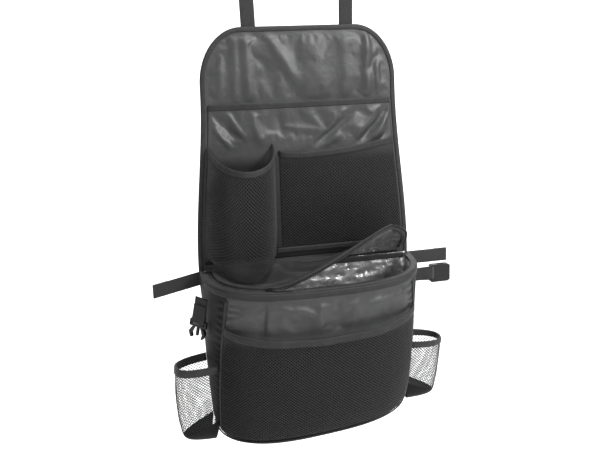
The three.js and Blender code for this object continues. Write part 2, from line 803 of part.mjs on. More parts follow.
const downAt = (drop) => (drop - cooler.rim) / (cooler.base - cooler.rim);
const netMargin = 4.2 / turnTable.total;

// u runs from corner seam to corner seam, v from the pocket's hem to its foot.
function frontNetPoint(u, v, layer) {
  const arch = 4 * u * (1 - u);
  const hemDrop = mix(frontNet.left, frontNet.right, u) + (frontNet.middle - frontNet.left) * arch;
  const frontDrop = 16; // the box's tilt lowers its front by about this much
  const down = mix(downAt(hemDrop - frontDrop), frontNet.foot, v);
  const start = seamShare(down) + netMargin;
  const slack = frontNet.mouth * Math.sin(Math.PI * clamp01(u)) ** 0.8 * (1 - clamp01(v) ** 1.6);
  const cornerRoom = 2.8 * Math.min(1, 12 * u * (1 - u)); // clear of the box's round corners
  const hemRoom = OVER + BIND * (1 - ease(v, 0.03, 0.25));
  return onBox(mix(start, 1 - start, u), down, -OVER - hemRoom - cornerRoom - slack - layer);
}

const frontHalf = [0, 0.05, 0.11, 0.19, 0.3, 0.43];
const frontColumns = [...frontHalf, ...frontHalf.map((u) => 1 - u).reverse()];
const frontSheet = { us: frontColumns, vs: steps(5), surface: frontNetPoint, opening: netOpening };
add('front_pocket_net', 'net', sheet(frontSheet));
add('front_pocket_hem', 'tape', foldOver(frontSheet, thinFold(frontNet.hemWidth, BIND / 2)));

// Net bottle holders on both sides of the box, each with a cloth cup as its base

const baseFrom = 0.74; // where the net ends and the cloth cup begins
const sideMargin = 6.5 / turnTable.total;

function sideSurface(side) {
  // The left holder's mouth stays level with the right one's; its foot follows the slant.
  const lower = side < 0 ? cooler.slant : 0;
  const drop = (v) => mix(sideNet.mouth - 0.6 * lower, sideNet.foot, 1 - (1 - clamp01(v)) ** 2.2);
  const front = (v) => {
    const down = downAt(drop(v) - 8);
    return onBox(mirrored(seamShare(down) - sideMargin, side), down, -OVER - 0.3);
  };
  const rear = (v) => onBox(mirrored(sideNet.rear, side), downAt(drop(v)), -OVER - 0.3);
  const hang = (wanted, v) => wanted - drop(v);
  return pouch({
    left: side < 0 ? rear : front,
    right: side < 0 ? front : rear,
    outward: at(side, 0, 0),
    squareness: 1.25,
    profile: profileOf([
      [sideNet.out, 8],
      [sideNet.out + 3, hang(630, 1 / 5)],
      [sideNet.out + 3, hang(662, 2 / 5)],
      [sideNet.out + 1, hang(692, 3 / 5)],
      [sideNet.out - 10, hang(sideNet.hang - 8, 4 / 5)],
      [sideNet.out - 60, hang(sideNet.hang - 2, 1)],
    ]),
  });
}

for (const { name, side } of sides) {
  const surface = sideSurface(side);
  const net = { us: steps(5), vs: steps(3).map((share) => share * baseFrom), surface, opening: netOpening };
  const cup = { us: net.us, vs: [baseFrom + 0.004, 0.82, 0.91, 1], surface };
  add(`side_net_${name}`, 'net', sheet(net));
  add(`side_ring_${name}`, 'tape', foldOver(net, thinFold(sideNet.hemWidth, BIND)));
  add(`side_base_${name}`, 'nylon', sheet(cup));
}

// Webbing straps

const strapY = SEWN + BIND + SEWN + webbing.thickness / 2; // behind the panel's binding
const foldY = strapY + webbing.thickness + SEWN;

for (const { name, side } of sides) {
  const { rise, sewnDrop, spacing, splay } = headrestStrap;
  const path = [
    [strapY, -sewnDrop],
    [strapY, rise],
    [foldY, rise],
    [foldY, rise - webbing.fold],
  ];
  const strap = ribbon(path, webbing.thickness, webbing.width)
    .applyMatrix4(new THREE.Matrix4().makeBasis(at(0, 1, 0), at(0, 0, 1), at(1, 0, 0)))
    .rotateY(side * splay)
    .translate((side * spacing) / 2, 0, 0);
  add(`headrest_strap_${name}`, 'webbing', strap);
}

const { droop, droopFrom, reach: strapReach } = waistStrap;
const waistPath = [
  [-strapReach + webbing.fold, foldY],
  [-strapReach, foldY],
  [-strapReach, strapY],
  [droopFrom - 25, strapY],
  [droopFrom, strapY],
  [strapReach, strapY],
  [strapReach, foldY],
  [strapReach - webbing.fold, foldY],
];
const sagging = ({ x, y, z }) => {
  const out = Math.max(0, droopFrom - x);
  return at(x, y, z - waistStrap.drop - (droop * out) / (strapReach + droopFrom));
};
add('waist_strap', 'webbing', bend(ribbon(waistPath, webbing.thickness, webbing.width), sagging));

// Side-release buckle: local x runs along the strap, away from the sewn end

const bar = 4; // the bar that the strap turns round, and the slot beyond it
const slot = 4.4;
const buckleWall = 1.6;

function socketSolid() {
  const { height, thickness, socket } = buckle;
  const [half, deep] = [height / 2, thickness / 2];
  const shell = new THREE.Shape(
    [[0, half - 3], [3, half], [socket - 5, half], [socket, half - 3]]
      .concat([[socket, 3 - half], [socket - 5, -half], [3, -half], [0, 3 - half]])
      .map(([x, y]) => new THREE.Vector2(x, y)),
  );
  const solid = new THREE.ExtrudeGeometry(shell, { depth: thickness, bevelEnabled: false });
  solid.translate(0, 0, -deep);
  const room = half - 4;
  return cut(
    solid,
    block([bar, bar + slot], [-webbing.width / 2 - 1, webbing.width / 2 + 1], [-deep - 1, deep + 1]),
    block([-1, bar + slot], [-webbing.width / 2 - 1, webbing.width / 2 + 1], [2, deep + 1]),
    block([-1, bar + slot], [-webbing.width / 2 - 1, webbing.width / 2 + 1], [-deep - 1, -2]),
    block([bar + slot + 3, socket + 1], [-room, room], [-deep + buckleWall, deep - buckleWall]),
    block([bar + slot + 7, socket - 12], [-half - 1, half + 1], [-deep + buckleWall, deep - buckleWall]),
  );
}

function plugSolid() {
  const { height, thickness, plug } = buckle;
  const half = height / 2;
  const deep = thickness / 2 - buckleWall - 0.5;
  const root = bar + slot + 4;
  const arm = new THREE.Shape(
    [[root - 1, half - 9], [root + 4, half - 5], [root + 12, half - 1], [root + plug, half - 5]]
      .concat([[root + plug, half - 9], [root + 14, half - 7], [root + 6, half - 10], [root - 1, half - 13]])
      .map(([x, y]) => new THREE.Vector2(x, y)),
  );
  const armSolid = new THREE.ExtrudeGeometry(arm, { depth: 2 * deep, bevelEnabled: false });
  armSolid.translate(0, 0, -deep);
  const other = armSolid.clone().applyMatrix4(new THREE.Matrix4().makeScale(1, -1, 1));
  other.setAttribute('position', flipped(other.attributes.position));
  return cut(
    join(
      block([0, root], [-half + 1, half - 1], [-deep, deep]),
      block([root - 1, root + plug - 5], [-2.2, 2.2], [-deep + 1, deep - 1]),
      armSolid,
      other,
    ),
    block([bar, bar + slot], [-webbing.width / 2 - 1, webbing.width / 2 + 1], [-deep - 1, deep + 1]),
    block([-1, bar + slot], [-webbing.width / 2 - 1, webbing.width / 2 + 1], [2, deep + 1]),
    block([-1, bar + slot], [-webbing.width / 2 - 1, webbing.width / 2 + 1], [-deep - 1, -2]),
  );
}

// Each triangle's corners in reverse, for a mesh that has been mirrored.
function flipped(position) {
  const array = new Float32Array(position.array.length);
  for (let i = 0; i < position.count; i += 1) {
    const from = i - (i % 3) + (2 - (i % 3));
    array.set([position.getX(from), position.getY(from), position.getZ(from)], i * 3);
  }
  return new THREE.BufferAttribute(array, 3);
}

// The strap runs from its sewn end to the bar, round it, and back for a stitched fold.
function buckleStrap(length) {
  const lift = 2 + SEWN + webbing.thickness / 2;
  const turnX = bar + SEWN + webbing.thickness / 2 + 0.3;
  const inner = webbing.thickness / 2 + SEWN / 2;
  return ribbon(
    [
      [-length, 0],
      [-18, 0],
      [-4, -lift],
      [turnX, -lift],
      [turnX, lift],
      [-4, lift],
      [-18, inner * 2],
      [-length + 14, inner * 2],
    ].map(([x, z]) => [x, z]),
    webbing.thickness,
    webbing.width,
  );
}

// From the ribbon's plane to the buckle's: the strap's width lies along the buckle's height.
const standing = () => new THREE.Matrix4().makeBasis(at(1, 0, 0), at(0, 0, 1), at(0, -1, 0));
const frameOf = (along, wide, thick, origin) =>
  new THREE.Matrix4().makeBasis(along, wide, thick).setPosition(origin);

const onRight = frameOf(at(1, 0, 0), at(0, 0, -1), at(0, 1, 0), at(buckle.start, strapY, -buckle.drop));
add('buckle_strap_right', 'webbing', buckleStrap(buckle.start - 160).applyMatrix4(onRight.clone().multiply(standing())));
add('buckle_socket', 'plastic', socketSolid().applyMatrix4(onRight));

// The left half hangs: its strap is sewn to the box's side by the inner corner of its end.
const { share: hangShare, drop: hangDrop, length: hangLength, facing, lean } = hangingStrap;
const sewnCorner = onBox(hangShare, downAt(hangDrop), 0).add(at(-OVER, 0, 0));
const outwards = at(-Math.sin(facing), -Math.cos(facing), 0);
const boxwards = at(Math.cos(facing), -Math.sin(facing), 0);
const along = at(0, 0, -Math.cos(lean)).addScaledVector(boxwards, -Math.sin(lean));
const across = at(0, 0, -Math.sin(lean)).addScaledVector(boxwards, Math.cos(lean));
const hangOrigin = sewnCorner
  .clone()
  .addScaledVector(along, hangLength)
  .addScaledVector(across, -webbing.width / 2);
const onLeft = frameOf(along, across, outwards, hangOrigin);
add('buckle_strap_left', 'webbing', buckleStrap(hangLength).applyMatrix4(onLeft.clone().multiply(standing())));
add('buckle_plug', 'plastic', plugSolid().applyMatrix4(onLeft));

export default organizer;
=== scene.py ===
# %% [markdown]
# # Car seat back organizer
# A nylon panel hangs on the back of a car seat. It carries a document pocket, a flat net
# pocket, a bottle net pocket and, at its foot, an insulated cooler box with a zipped lid,
# a front net pocket and two net side holders. The CAD model has each piece as a plain
# solid. Here every soft one is made anew, as cloth, net, tape or webbing in the same
# place, and then stands for its solid.
#
# Sizes below are millimetres in the CAD model's own frame: x to the right, y towards the
# seat, and drops measured down from the panel's top edge. They are turned into metres
# only when a mesh is made.

import math

import bmesh
import bpy
import numpy as np
from mathutils import Matrix, Vector, noise


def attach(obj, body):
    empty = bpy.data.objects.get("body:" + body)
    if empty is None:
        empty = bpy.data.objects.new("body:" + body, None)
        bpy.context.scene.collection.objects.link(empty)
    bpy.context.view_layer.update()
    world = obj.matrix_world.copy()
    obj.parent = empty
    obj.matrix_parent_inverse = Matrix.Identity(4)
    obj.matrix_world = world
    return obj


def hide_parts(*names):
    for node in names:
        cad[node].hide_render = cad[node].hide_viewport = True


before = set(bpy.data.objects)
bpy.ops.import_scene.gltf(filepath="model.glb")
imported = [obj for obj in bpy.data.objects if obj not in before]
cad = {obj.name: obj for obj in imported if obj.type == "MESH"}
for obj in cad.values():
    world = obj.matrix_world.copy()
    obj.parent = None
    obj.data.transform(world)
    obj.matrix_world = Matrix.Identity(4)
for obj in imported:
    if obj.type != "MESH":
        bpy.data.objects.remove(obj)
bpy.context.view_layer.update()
scene = bpy.context.scene
MM = 0.001

# %% [markdown]
# ## Camera, floor and light
# The camera stands where it was fitted to the photograph: a little left of the organizer,
# level with its top, and looking down on it. Its place, its turn and its lens were solved
# together from seams and corners, because a guessed lens would spoil every other size.
# A soft key lamp stands on the right, so that the cloth's folds read and the cooler's
# left side falls into shade, as in the photograph. The world is white to the camera, and
# much weaker to the organizer, so that black cloth stays black.

# %% Camera
CAMERA_AT = Vector((-0.330, -1.346, -0.063))
YAW, PITCH, ROLL = math.radians(13.4), math.radians(12.3), math.radians(-2.1)
LENS = 45.0  # millimetres, on a sensor 36 mm wide

ahead = Vector(
    (math.sin(YAW) * math.cos(PITCH), math.cos(YAW) * math.cos(PITCH), -math.sin(PITCH))
)
level = ahead.cross(Vector((0, 0, 1))).normalized()
upward = level.cross(ahead)
right_hand = level * math.cos(ROLL) + upward * math.sin(ROLL)
overhead = upward * math.cos(ROLL) - level * math.sin(ROLL)

camera_data = bpy.data.cameras.new("camera")
camera_data.sensor_width = 36.0
camera_data.lens = LENS
camera = bpy.data.objects.new("camera", camera_data)
camera.matrix_world = Matrix.Translation(CAMERA_AT) @ Matrix(
    (right_hand, overhead, -ahead)
).transposed().to_4x4()
scene.collection.objects.link(camera)
scene.camera = camera

# %% Light
LIGHTS = {
    # name: (place, aim, size, power)
    "key": ((1.35, -1.9, 0.8), (0, 0, -0.35), 0.8, 50),
    "fill": ((-1.2, -2.0, 0.2), (0, 0, -0.4), 0.8, 6),
    "top": ((0.4, -0.6, 1.7), (0, 0, -0.4), 0.7, 26),
    "rim": ((1.4, 1.0, 0.9), (0, 0, -0.35), 0.8, 10),
}


def add_light(name, place, aim, size, power):
    data = bpy.data.lights.new(name, "AREA")
    data.shape = "DISK"
    data.size = size
    data.energy = power
    lamp = bpy.data.objects.new(name, data)
    lamp.location = place
    direction = Vector(aim) - Vector(place)
    lamp.rotation_euler = direction.to_track_quat("-Z", "Y").to_euler()
    scene.collection.objects.link(lamp)


for name, facts in LIGHTS.items():
    add_light(name, *facts)

world = bpy.data.worlds.new("studio")
world.use_nodes = True
sky = world.node_tree.nodes["Background"]
sky.inputs["Color"].default_value = (1, 1, 1, 1)
seen = world.node_tree.nodes.new("ShaderNodeLightPath").outputs["Is Camera Ray"]
strength = world.node_tree.nodes.new("ShaderNodeMapRange")
strength.inputs["To Min"].default_value = 0.22  # on the organizer
strength.inputs["To Max"].default_value = 1.0  # to the camera
world.node_tree.links.new(seen, strength.inputs["Value"])
world.node_tree.links.new(strength.outputs["Result"], sky.inputs["Strength"])
scene.world = world
scene.view_settings.view_transform = "Standard"

# %% [markdown]
# ## Small mathematical helpers
# Cloth is drawn below as functions of shares from 0 to 1. These few helpers blend two
# values, ease between them, and measure lines. The folds of a piece are a short list of
# ridges, each with two ends, a height and a width, and noise breaks them up. A sculpted
# mesh could have such folds too, but a list can be read and moved.

# %% Helpers for numbers and curves


def lerp(a, b, share):
    return a + (b - a) * share


def clamp01(value):
    return min(max(value, 0.0), 1.0)


def ease(value, low, high):
    share = clamp01((value - low) / (high - low))
    return share * share * (3 - 2 * share)


def bell(value, centre, width):
    return math.exp(-(((value - centre) / width) ** 2))


def steps(count, low=0.0, high=1.0):
    return [lerp(low, high, k / count) for k in range(count + 1)]


def measured(points):
    """The length along a line of points, up to each of them."""
    lengths = [0.0]
    for a, b in zip(points, points[1:]):
        lengths.append(lengths[-1] + (b - a).length)
    return lengths


def headings(points):
    """The direction along a line of points, at each of them."""
    last = len(points) - 1
    return [(points[min(k + 1, last)] - points[max(k - 1, 0)]).normalized() for k in range(last + 1)]


def even(curve, spacing, low=0.0, high=1.0):
    """Values that step along a curve in even lengths."""
    fine = steps(300, low, high)
    lengths = measured([curve(value) for value in fine])
    count = max(2, round(lengths[-1] / spacing))
    wanted = [lengths[-1] * share for share in steps(count)]
    return [float(value) for value in np.interp(wanted, lengths, fine)]


def spline(pairs):
    """A smooth curve through evenly spaced pairs, for a share from 0 to 1."""

    def at_share(share):
        place = clamp01(share) * (len(pairs) - 1)
        k = min(int(place), len(pairs) - 2)
        t = place - k
        around = [pairs[min(max(k + step, 0), len(pairs) - 1)] for step in (-1, 0, 1, 2)]
        weights = (
            0.5 * (-t + 2 * t * t - t**3),
            0.5 * (2 - 5 * t * t + 3 * t**3),
            0.5 * (t + 4 * t * t - 3 * t**3),
            0.5 * (t**3 - t * t),
        )
        return [sum(w * p[axis] for w, p in zip(weights, around)) for axis in (0, 1)]

    return at_share


def wrinkle(point, size, seed=0.0):
    """Smooth seeded noise from -1 to 1, with features of the given size in millimetres."""
    return noise.noise(Vector((point[0], point[1], point[2])) / size + Vector((seed, seed, seed)))


def ridges(x, drop, folds):
    """The height of the folds at a place. A fold is (x0, drop0, x1, drop1, height, width)."""
    total = 0.0
    for x0, drop0, x1, drop1, height, width in folds:
        run, fall = x1 - x0, drop1 - drop0
        square = run * run + fall * fall
        along = ((x - x0) * run + (drop - drop0) * fall) / square
        if not -0.4 < along < 1.4:
            continue
        off = ((x - x0) * fall - (drop - drop0) * run) / math.sqrt(square)
        ends = ease(along, -0.35, 0.15) * (1 - ease(along, 0.85, 1.35))
        total += height * math.exp(-((off / width) ** 2)) * ends
    return total


# %% [markdown]
# ## Materials
# Every finish is made of nodes. The cloth ones read the piece's own flat coordinates, in
# metres along its weave, so that threads keep their real size on every piece. A picture
# of cloth could do the same, but it would blur close up and repeat further off.

# %% Material helpers


class Finish:
    """A principled material with helpers for its height and colour nodes."""

    def __init__(self, name, colour, roughness, **sockets):
        self.material = bpy.data.materials.new(name)
        self.material.use_nodes = True
        self.tree = self.material.node_tree
        self.shader = self.tree.nodes["Principled BSDF"]
        self.shader.inputs["Base Color"].default_value = (*colour, 1)
        self.shader.inputs["Roughness"].default_value = roughness
        for label, value in sockets.items():
            self.shader.inputs[label.replace("_", " ")].default_value = value
        self.coordinates = self.tree.nodes.new("ShaderNodeTexCoord")

    def node(self, kind, **settings):
        made = self.tree.nodes.new(kind)
        for key, value in settings.items():
            setattr(made, key, value)
        return made

    def link(self, source, target):
        self.tree.links.new(source, target)

    def waves(self, period, direction, space="UV", profile="SIN"):
        """Bands across the cloth that repeat each period, in metres."""
        made = self.node("ShaderNodeTexWave", bands_direction=direction, wave_profile=profile)
        made.inputs["Scale"].default_value = 2 * math.pi / (20 * period)
        self.link(self.coordinates.outputs[space], made.inputs["Vector"])
        return made.outputs["Fac"]

    def noise(self, size, detail=3.0, space="Object", distortion=0.0):
        made = self.node("ShaderNodeTexNoise")
        made.inputs["Scale"].default_value = 1 / size
        made.inputs["Detail"].default_value = detail
        made.inputs["Distortion"].default_value = distortion
        self.link(self.coordinates.outputs[space], made.inputs["Vector"])
        return made.outputs["Fac"]

    def math(self, operation, a, b):
        made = self.node("ShaderNodeMath", operation=operation)
        for value, socket in zip((a, b), made.inputs):
            if isinstance(value, (int, float)):
                socket.default_value = value
            else:
                self.link(value, socket)
        return made.outputs["Value"]

    def spread(self, value, low, high):
        """The value, from 0 to 1, stretched to run from low to high."""
        made = self.node("ShaderNodeMapRange")
        made.inputs["To Min"].default_value = low
        made.inputs["To Max"].default_value = high
        self.link(value, made.inputs["Value"])
        return made.outputs["Result"]

    def colours(self, value, *stops):
        made = self.node("ShaderNodeValToRGB")
        ramp = made.color_ramp
        while len(ramp.elements) < len(stops):
            ramp.elements.new(0.5)
        for element, (place, colour) in zip(ramp.elements, stops):
            element.position = place
            element.color = (*colour, 1)
        self.link(value, made.inputs["Fac"])
        self.link(made.outputs["Color"], self.shader.inputs["Base Color"])

    def rough(self, value, low, high):
        self.link(self.spread(value, low, high), self.shader.inputs["Roughness"])

    def bumps(self, *layers):
        """Each layer is (height, strength, distance in metres)."""
        normal = None
        for height, strength, distance in layers:
            made = self.node("ShaderNodeBump")
            made.inputs["Strength"].default_value = strength
            made.inputs["Distance"].default_value = distance
            self.link(height, made.inputs["Height"])
            if normal is not None:
                self.link(normal, made.inputs["Normal"])
            normal = made.outputs["Normal"]
        self.link(normal, self.shader.inputs["Normal"])


def grey(level, warm=0.0):
    return (level * (1 + warm), level, level * (1 - warm))


# %% [markdown]
# The panel, the document pocket, the lid and the cooler's wall are a coated plain weave
# with a soft shine. Two crossed waves give its threads, and noise gives its crumple. The
# cloth is duller and darker in places, and it could have a second material there. An
# attribute on its points was chosen, because it fades without an edge. Behind the nets
# and on the cooler's sides, its darker colour is painted shade.

# %% Nylon: a smooth charcoal plain weave with a satin shine


def make_nylon():
    """Its point attribute runs from 0, satin, to 1, for duller and darker cloth. On the
    cooler's sides and on the pocket backs behind the nets, the darker colour is painted shade."""
    finish = Finish("nylon", grey(0.03, -0.02), 0.5, Sheen_Weight=0.06)
    matt_and_shade = finish.node("ShaderNodeAttribute", attribute_name="matt_and_shade").outputs["Fac"]
    finish.shader.inputs["Sheen Roughness"].default_value = 0.4
    weave = finish.math("MULTIPLY", finish.waves(0.0006, "X"), finish.waves(0.0006, "Y"))
    # Painted shade: the colour darkens as the attribute rises, on the cooler's sides and behind the
    # nets.
    cloudy_and_shaded = finish.math("MULTIPLY", finish.noise(0.05, 4.0), finish.spread(matt_and_shade, 1, 0))
    finish.colours(cloudy_and_shaded, (0, grey(0.006, -0.02)), (0.3, grey(0.022, -0.02)), (0.7, grey(0.034, -0.02)))
    uneven = finish.spread(finish.noise(0.012, 3.0), 0.44, 0.54)
    rough = finish.math("ADD", uneven, finish.math("MULTIPLY", matt_and_shade, 0.17))
    finish.link(rough, finish.shader.inputs["Roughness"])
    finish.link(finish.spread(matt_and_shade, 0.95, 0.2), finish.shader.inputs["Specular IOR Level"])
    crumple = finish.noise(0.016, 4.0, distortion=0.6)
    fine = finish.noise(0.0035, 2.0)
    finish.bumps((crumple, 0.3, 0.0022), (fine, 0.12, 0.0005), (weave, 0.25, 0.00012))
    return finish.material


nylon = make_nylon()

# %% [markdown]
# Raw edges and the nets' mouths are bound with a dull ribbed tape. Its folds could be
# shaded in, but they are real geometry, so that its outline shows them too. Here one
# wave across it and a little noise are enough.

# %% Tape: matt binding with fine ribs across it


def make_tape():
    finish = Finish("tape", grey(0.015), 0.6, Specular_IOR_Level=0.55, Sheen_Weight=0.08)
    finish.shader.inputs["Sheen Roughness"].default_value = 0.5
    ribs = finish.waves(0.0011, "X")
    finish.colours(finish.noise(0.02), (0.3, grey(0.011)), (0.7, grey(0.02)))
    finish.rough(finish.noise(0.006), 0.5, 0.7)
    finish.bumps((finish.noise(0.007, 3.0), 0.5, 0.0011), (ribs, 0.4, 0.00025))
    return finish.material


tape = make_tape()

# %% [markdown]
# The straps are woven thicker. Their ribs could be modelled, but they stand up by half a
# millimetre at most, so they are bumps: one wave for the ribs, times a finer one.

# %% Webbing: thick ribs along the strap, crossed by a finer weft


def make_webbing():
    finish = Finish("webbing", grey(0.02), 0.62, Sheen_Weight=0.12)
    ribs = finish.waves(0.0021, "Y")
    weft = finish.waves(0.0015, "X")
    height = finish.math("MULTIPLY", ribs, finish.spread(weft, 0.55, 1.0))
    # Painted shade: the colour is darker down in the grooves between the ribs.
    finish.colours(height, (0.1, grey(0.008)), (0.8, grey(0.03)))
    finish.rough(finish.noise(0.004), 0.55, 0.72)
    finish.bumps((height, 0.8, 0.0005), (finish.noise(0.02), 0.2, 0.001))
    return finish.material


webbing = make_webbing()

# %% [markdown]
# The nets' threads and the stitches are real geometry, about a millimetre thick. They
# could be drawn as a pattern in the cloth's own material, but close up that looks flat.
# So their material needs only some fuzz and an uneven gloss.

# %% Net thread and sewing thread


def make_thread(name, level, roughness):
    finish = Finish(name, grey(level), roughness, Specular_IOR_Level=0.35, Sheen_Weight=0.02)
    fuzz = finish.noise(0.0009, 2.0)
    finish.colours(fuzz, (0.3, grey(level * 0.7)), (0.7, grey(level * 1.3)))
    finish.rough(finish.noise(0.003), roughness - 0.06, roughness + 0.06)
    finish.bumps((fuzz, 0.5, 0.0002))
    return finish.material


net_thread = make_thread("net_thread", 0.05, 0.55)
sewing_thread = make_thread("sewing_thread", 0.04, 0.5)

# %% [markdown]
# The cooler's lining is a silver film that crinkles into small facets. They could all be
# faces, but that would take a very dense mesh. The larger creases are in the mesh, and
# soft cells with a finer noise make the facets between them.

# %% Foil: crinkled silver film


def make_foil():
    finish = Finish("foil", grey(0.72), 0.28, Metallic=0.85)
    cells = finish.node("ShaderNodeTexVoronoi", feature="SMOOTH_F1")
    cells.inputs["Scale"].default_value = 1 / 0.013
    finish.link(finish.coordinates.outputs["Object"], cells.inputs["Vector"])
    finish.colours(finish.noise(0.02), (0.3, grey(0.6)), (0.7, grey(0.82)))
    finish.rough(finish.noise(0.01), 0.2, 0.38)
    crush = finish.noise(0.006, 5.0, distortion=1.2)
    finish.bumps((cells.outputs["Distance"], 0.7, 0.004), (crush, 0.5, 0.0012))
    return finish.material


foil = make_foil()

# %% [markdown]
# The buckle, the zip's teeth and its slider are black moulded plastic. One colour and one
# gloss would do for it, but would look like glass. A fine grain in both breaks that up.

# %% Moulded plastic, for the buckle, the zip's teeth and its slider


def make_plastic():
    finish = Finish("plastic", grey(0.011), 0.36, Specular_IOR_Level=0.5)
    grain = finish.noise(0.0008, 2.0)
    finish.colours(finish.noise(0.01), (0.3, grey(0.009)), (0.7, grey(0.014)))
    finish.rough(grain, 0.3, 0.44)
    finish.bumps((grain, 0.25, 0.00012))
    return finish.material


plastic = make_plastic()

# %% [markdown]
# The floor and the wall behind are one pale sheet with a round corner, so that no line
# shows where they meet. More lamps could make it white, but they would wash the cloth
# out too. It glows instead, for the camera and in reflections only.

# %% Floor and wall: one pale sheet with a round corner


def make_studio():
    finish = Finish("studio", grey(0.86), 0.85)
    finish.colours(finish.noise(0.6), (0.2, grey(0.85)), (0.8, grey(0.87)))
    finish.shader.inputs["Emission Color"].default_value = (1, 1, 1, 1)
    rays = finish.node("ShaderNodeLightPath").outputs
    seen = finish.math("MAXIMUM", rays["Is Camera Ray"], rays["Is Transmission Ray"])
    mirrored = finish.math("MULTIPLY", rays["Is Glossy Ray"], 0.5)
    glow = finish.math("MULTIPLY", finish.math("MAXIMUM", seen, mirrored), 0.8)
    finish.link(glow, finish.shader.inputs["Emission Strength"])
    finish.bumps((finish.noise(0.02), 0.02, 0.001))
    return finish.material


def add_studio():
    floor, back, front, radius, half = -1.15, 1.6, -2.6, 0.6, 3.2
    profile = [(front, floor)]
    for share in steps(12):
        turn = share * math.pi / 2
        y = back - radius + radius * math.sin(turn)
        profile.append((y, floor + radius - radius * math.cos(turn)))
    profile.append((back, 2.6))
    points = [(side * half, y, z) for y, z in profile for side in (-1, 1)]
    faces = [(2 * k, 2 * k + 1, 2 * k + 3, 2 * k + 2) for k in range(len(profile) - 1)]
    mesh = bpy.data.meshes.new("studio")
    mesh.from_pydata(points, [], faces)
    mesh.shade_smooth()
    mesh.materials.append(make_studio())
    sheet = bpy.data.objects.new("studio", mesh)
    scene.collection.objects.link(sheet)


add_studio()

# %% [markdown]
# ## How the cloth is built
# A surface is a function of two shares, u across and v down, and of a layer in front of
# the cloth's back face. `cloth` turns it into a closed sheet with two skins, `hem` folds
# a tape over its mouth, and `tube` draws an outline along a path. A flat grid with a
# Solidify modifier would make a sheet too. A function was chosen, because tapes, nets and
# stitches can then be laid out on the very same surface.

# %% Builders
SLOTS = {
    # finish: its slot in the record
    nylon: "nylon",
    tape: "tape",
    webbing: "webbing",
    net_thread: "net",
    sewing_thread: "tape",
    foil: "foil",
    plastic: "plastic",
}


def settle(piece, look, covers=(), slot=None):
    """The piece rides on the object's one body and stands for the CAD nodes it covers."""
    scene.collection.objects.link(piece)
    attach(piece, "root")
    slot or SLOTS[look]
    if covers:
        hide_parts(*covers)
    print(f"{piece.name}: {len(piece.data.polygons)} faces")
    return piece


def make(name, points, faces, look, covers=(), flat=None, slot=None):
    """A mesh piece from points in millimetres; flat holds its points' cloth coordinates."""
    mesh = bpy.data.meshes.new(name)
    mesh.from_pydata([point * MM for point in points], [], faces)
    if flat:
        layer = mesh.uv_layers.new(name="weave")
        corners = np.empty(len(mesh.loops), dtype=np.int32)
        mesh.loops.foreach_get("vertex_index", corners)
        layer.data.foreach_set("uv", (np.array(flat)[corners] * MM).ravel())
    shell = bmesh.new()
    shell.from_mesh(mesh)
    bmesh.ops.recalc_face_normals(shell, faces=shell.faces)
    shell.to_mesh(mesh)
    shell.free()
    mesh.shade_smooth()
    mesh.materials.append(look)
    return settle(bpy.data.objects.new(name, mesh), look, covers, slot)


def matt_and_shade_where(piece, amount):
    """Marks how dull and how dark the cloth is, the darkness being painted shade behind the nets and on
    the cooler's sides; amount gives it for a place in millimetres.
    """
    layer = piece.data.attributes.new("matt_and_shade", "FLOAT", "POINT")
    layer.data.foreach_set("value", [amount(vertex.co / MM) for vertex in piece.data.vertices])


def taped_where(piece, covered):
    """The faces in the places, in millimetres, where a tape covers the piece's raw edge."""
    piece.data.materials.append(tape)
    for face in piece.data.polygons:
        face.material_index = 1 if covered(face.center / MM) else 0


def grid_faces(rows, columns, offset=0, closed=False):
    """The squares between rows of points; closed joins each row's end to its start."""
    faces = []
    for j in range(rows - 1):
        for i in range(columns if closed else columns - 1):
            a, b = j * columns + i, j * columns + (i + 1) % columns
            faces.append([offset + k for k in (a, b, b + columns, a + columns)])
    return faces


def cloth(name, surface, us, vs, look, covers=(), back=0.0, front=1.0):
    """A closed sheet with its back skin on one layer and its front skin on another."""
    columns, rows = len(us), len(vs)
    skins = [[surface(u, v, layer) for v in vs for u in us] for layer in (front, back)]
    middle = columns // 2
    across = measured(skins[0][(rows // 2) * columns : (rows // 2 + 1) * columns])
    down = measured(skins[0][middle::columns])
    flat = [(a, b) for b in down for a in across]
    count = rows * columns
    faces = grid_faces(rows, columns)
    faces += [face[::-1] for face in grid_faces(rows, columns, count)]
    edge = [(0, i) for i in range(columns)] + [(j, columns - 1) for j in range(1, rows)]
    edge += [(rows - 1, i) for i in range(columns - 2, -1, -1)]
    edge += [(j, 0) for j in range(rows - 2, 0, -1)]
    ring = [j * columns + i for j, i in edge]
    for a, b in zip(ring, ring[1:] + ring[:1]):
        faces.append((b, a, a + count, b + count))
    return make(name, skins[0] + skins[1], faces, look, covers, flat * 2)


def tube(name, rings, look, covers=(), closed=False, slot=None):
    """A closed outline drawn through rings of points; its ends are closed unless it loops."""
    size = len(rings[0])
    points = [point for ring in rings for point in ring]
    along = measured([sum(ring, Vector()) / size for ring in rings])
    around = measured(rings[len(rings) // 2] + rings[len(rings) // 2][:1])
    flat = [(a, b) for a in along for b in around[:-1]]
    loops = rings + rings[:1] if closed else rings
    faces = []
    for j in range(len(loops) - 1):
        for i in range(size):
            a, b = j * size + i, j * size + (i + 1) % size
            c, d = [(k + size) % len(points) for k in (b, a)]
            faces.append((a, b, c, d))
    if not closed:
        faces += [list(range(size))[::-1], [len(points) - size + i for i in range(size)]]
    return make(name, points, faces, look, covers, flat, slot)


def arc(centre_a, centre_b, radius, start, end, count):
    turns = [math.radians(turn) for turn in steps(count, start, end)]
    return [(centre_a + radius * math.cos(t), centre_b + radius * math.sin(t)) for t in turns]


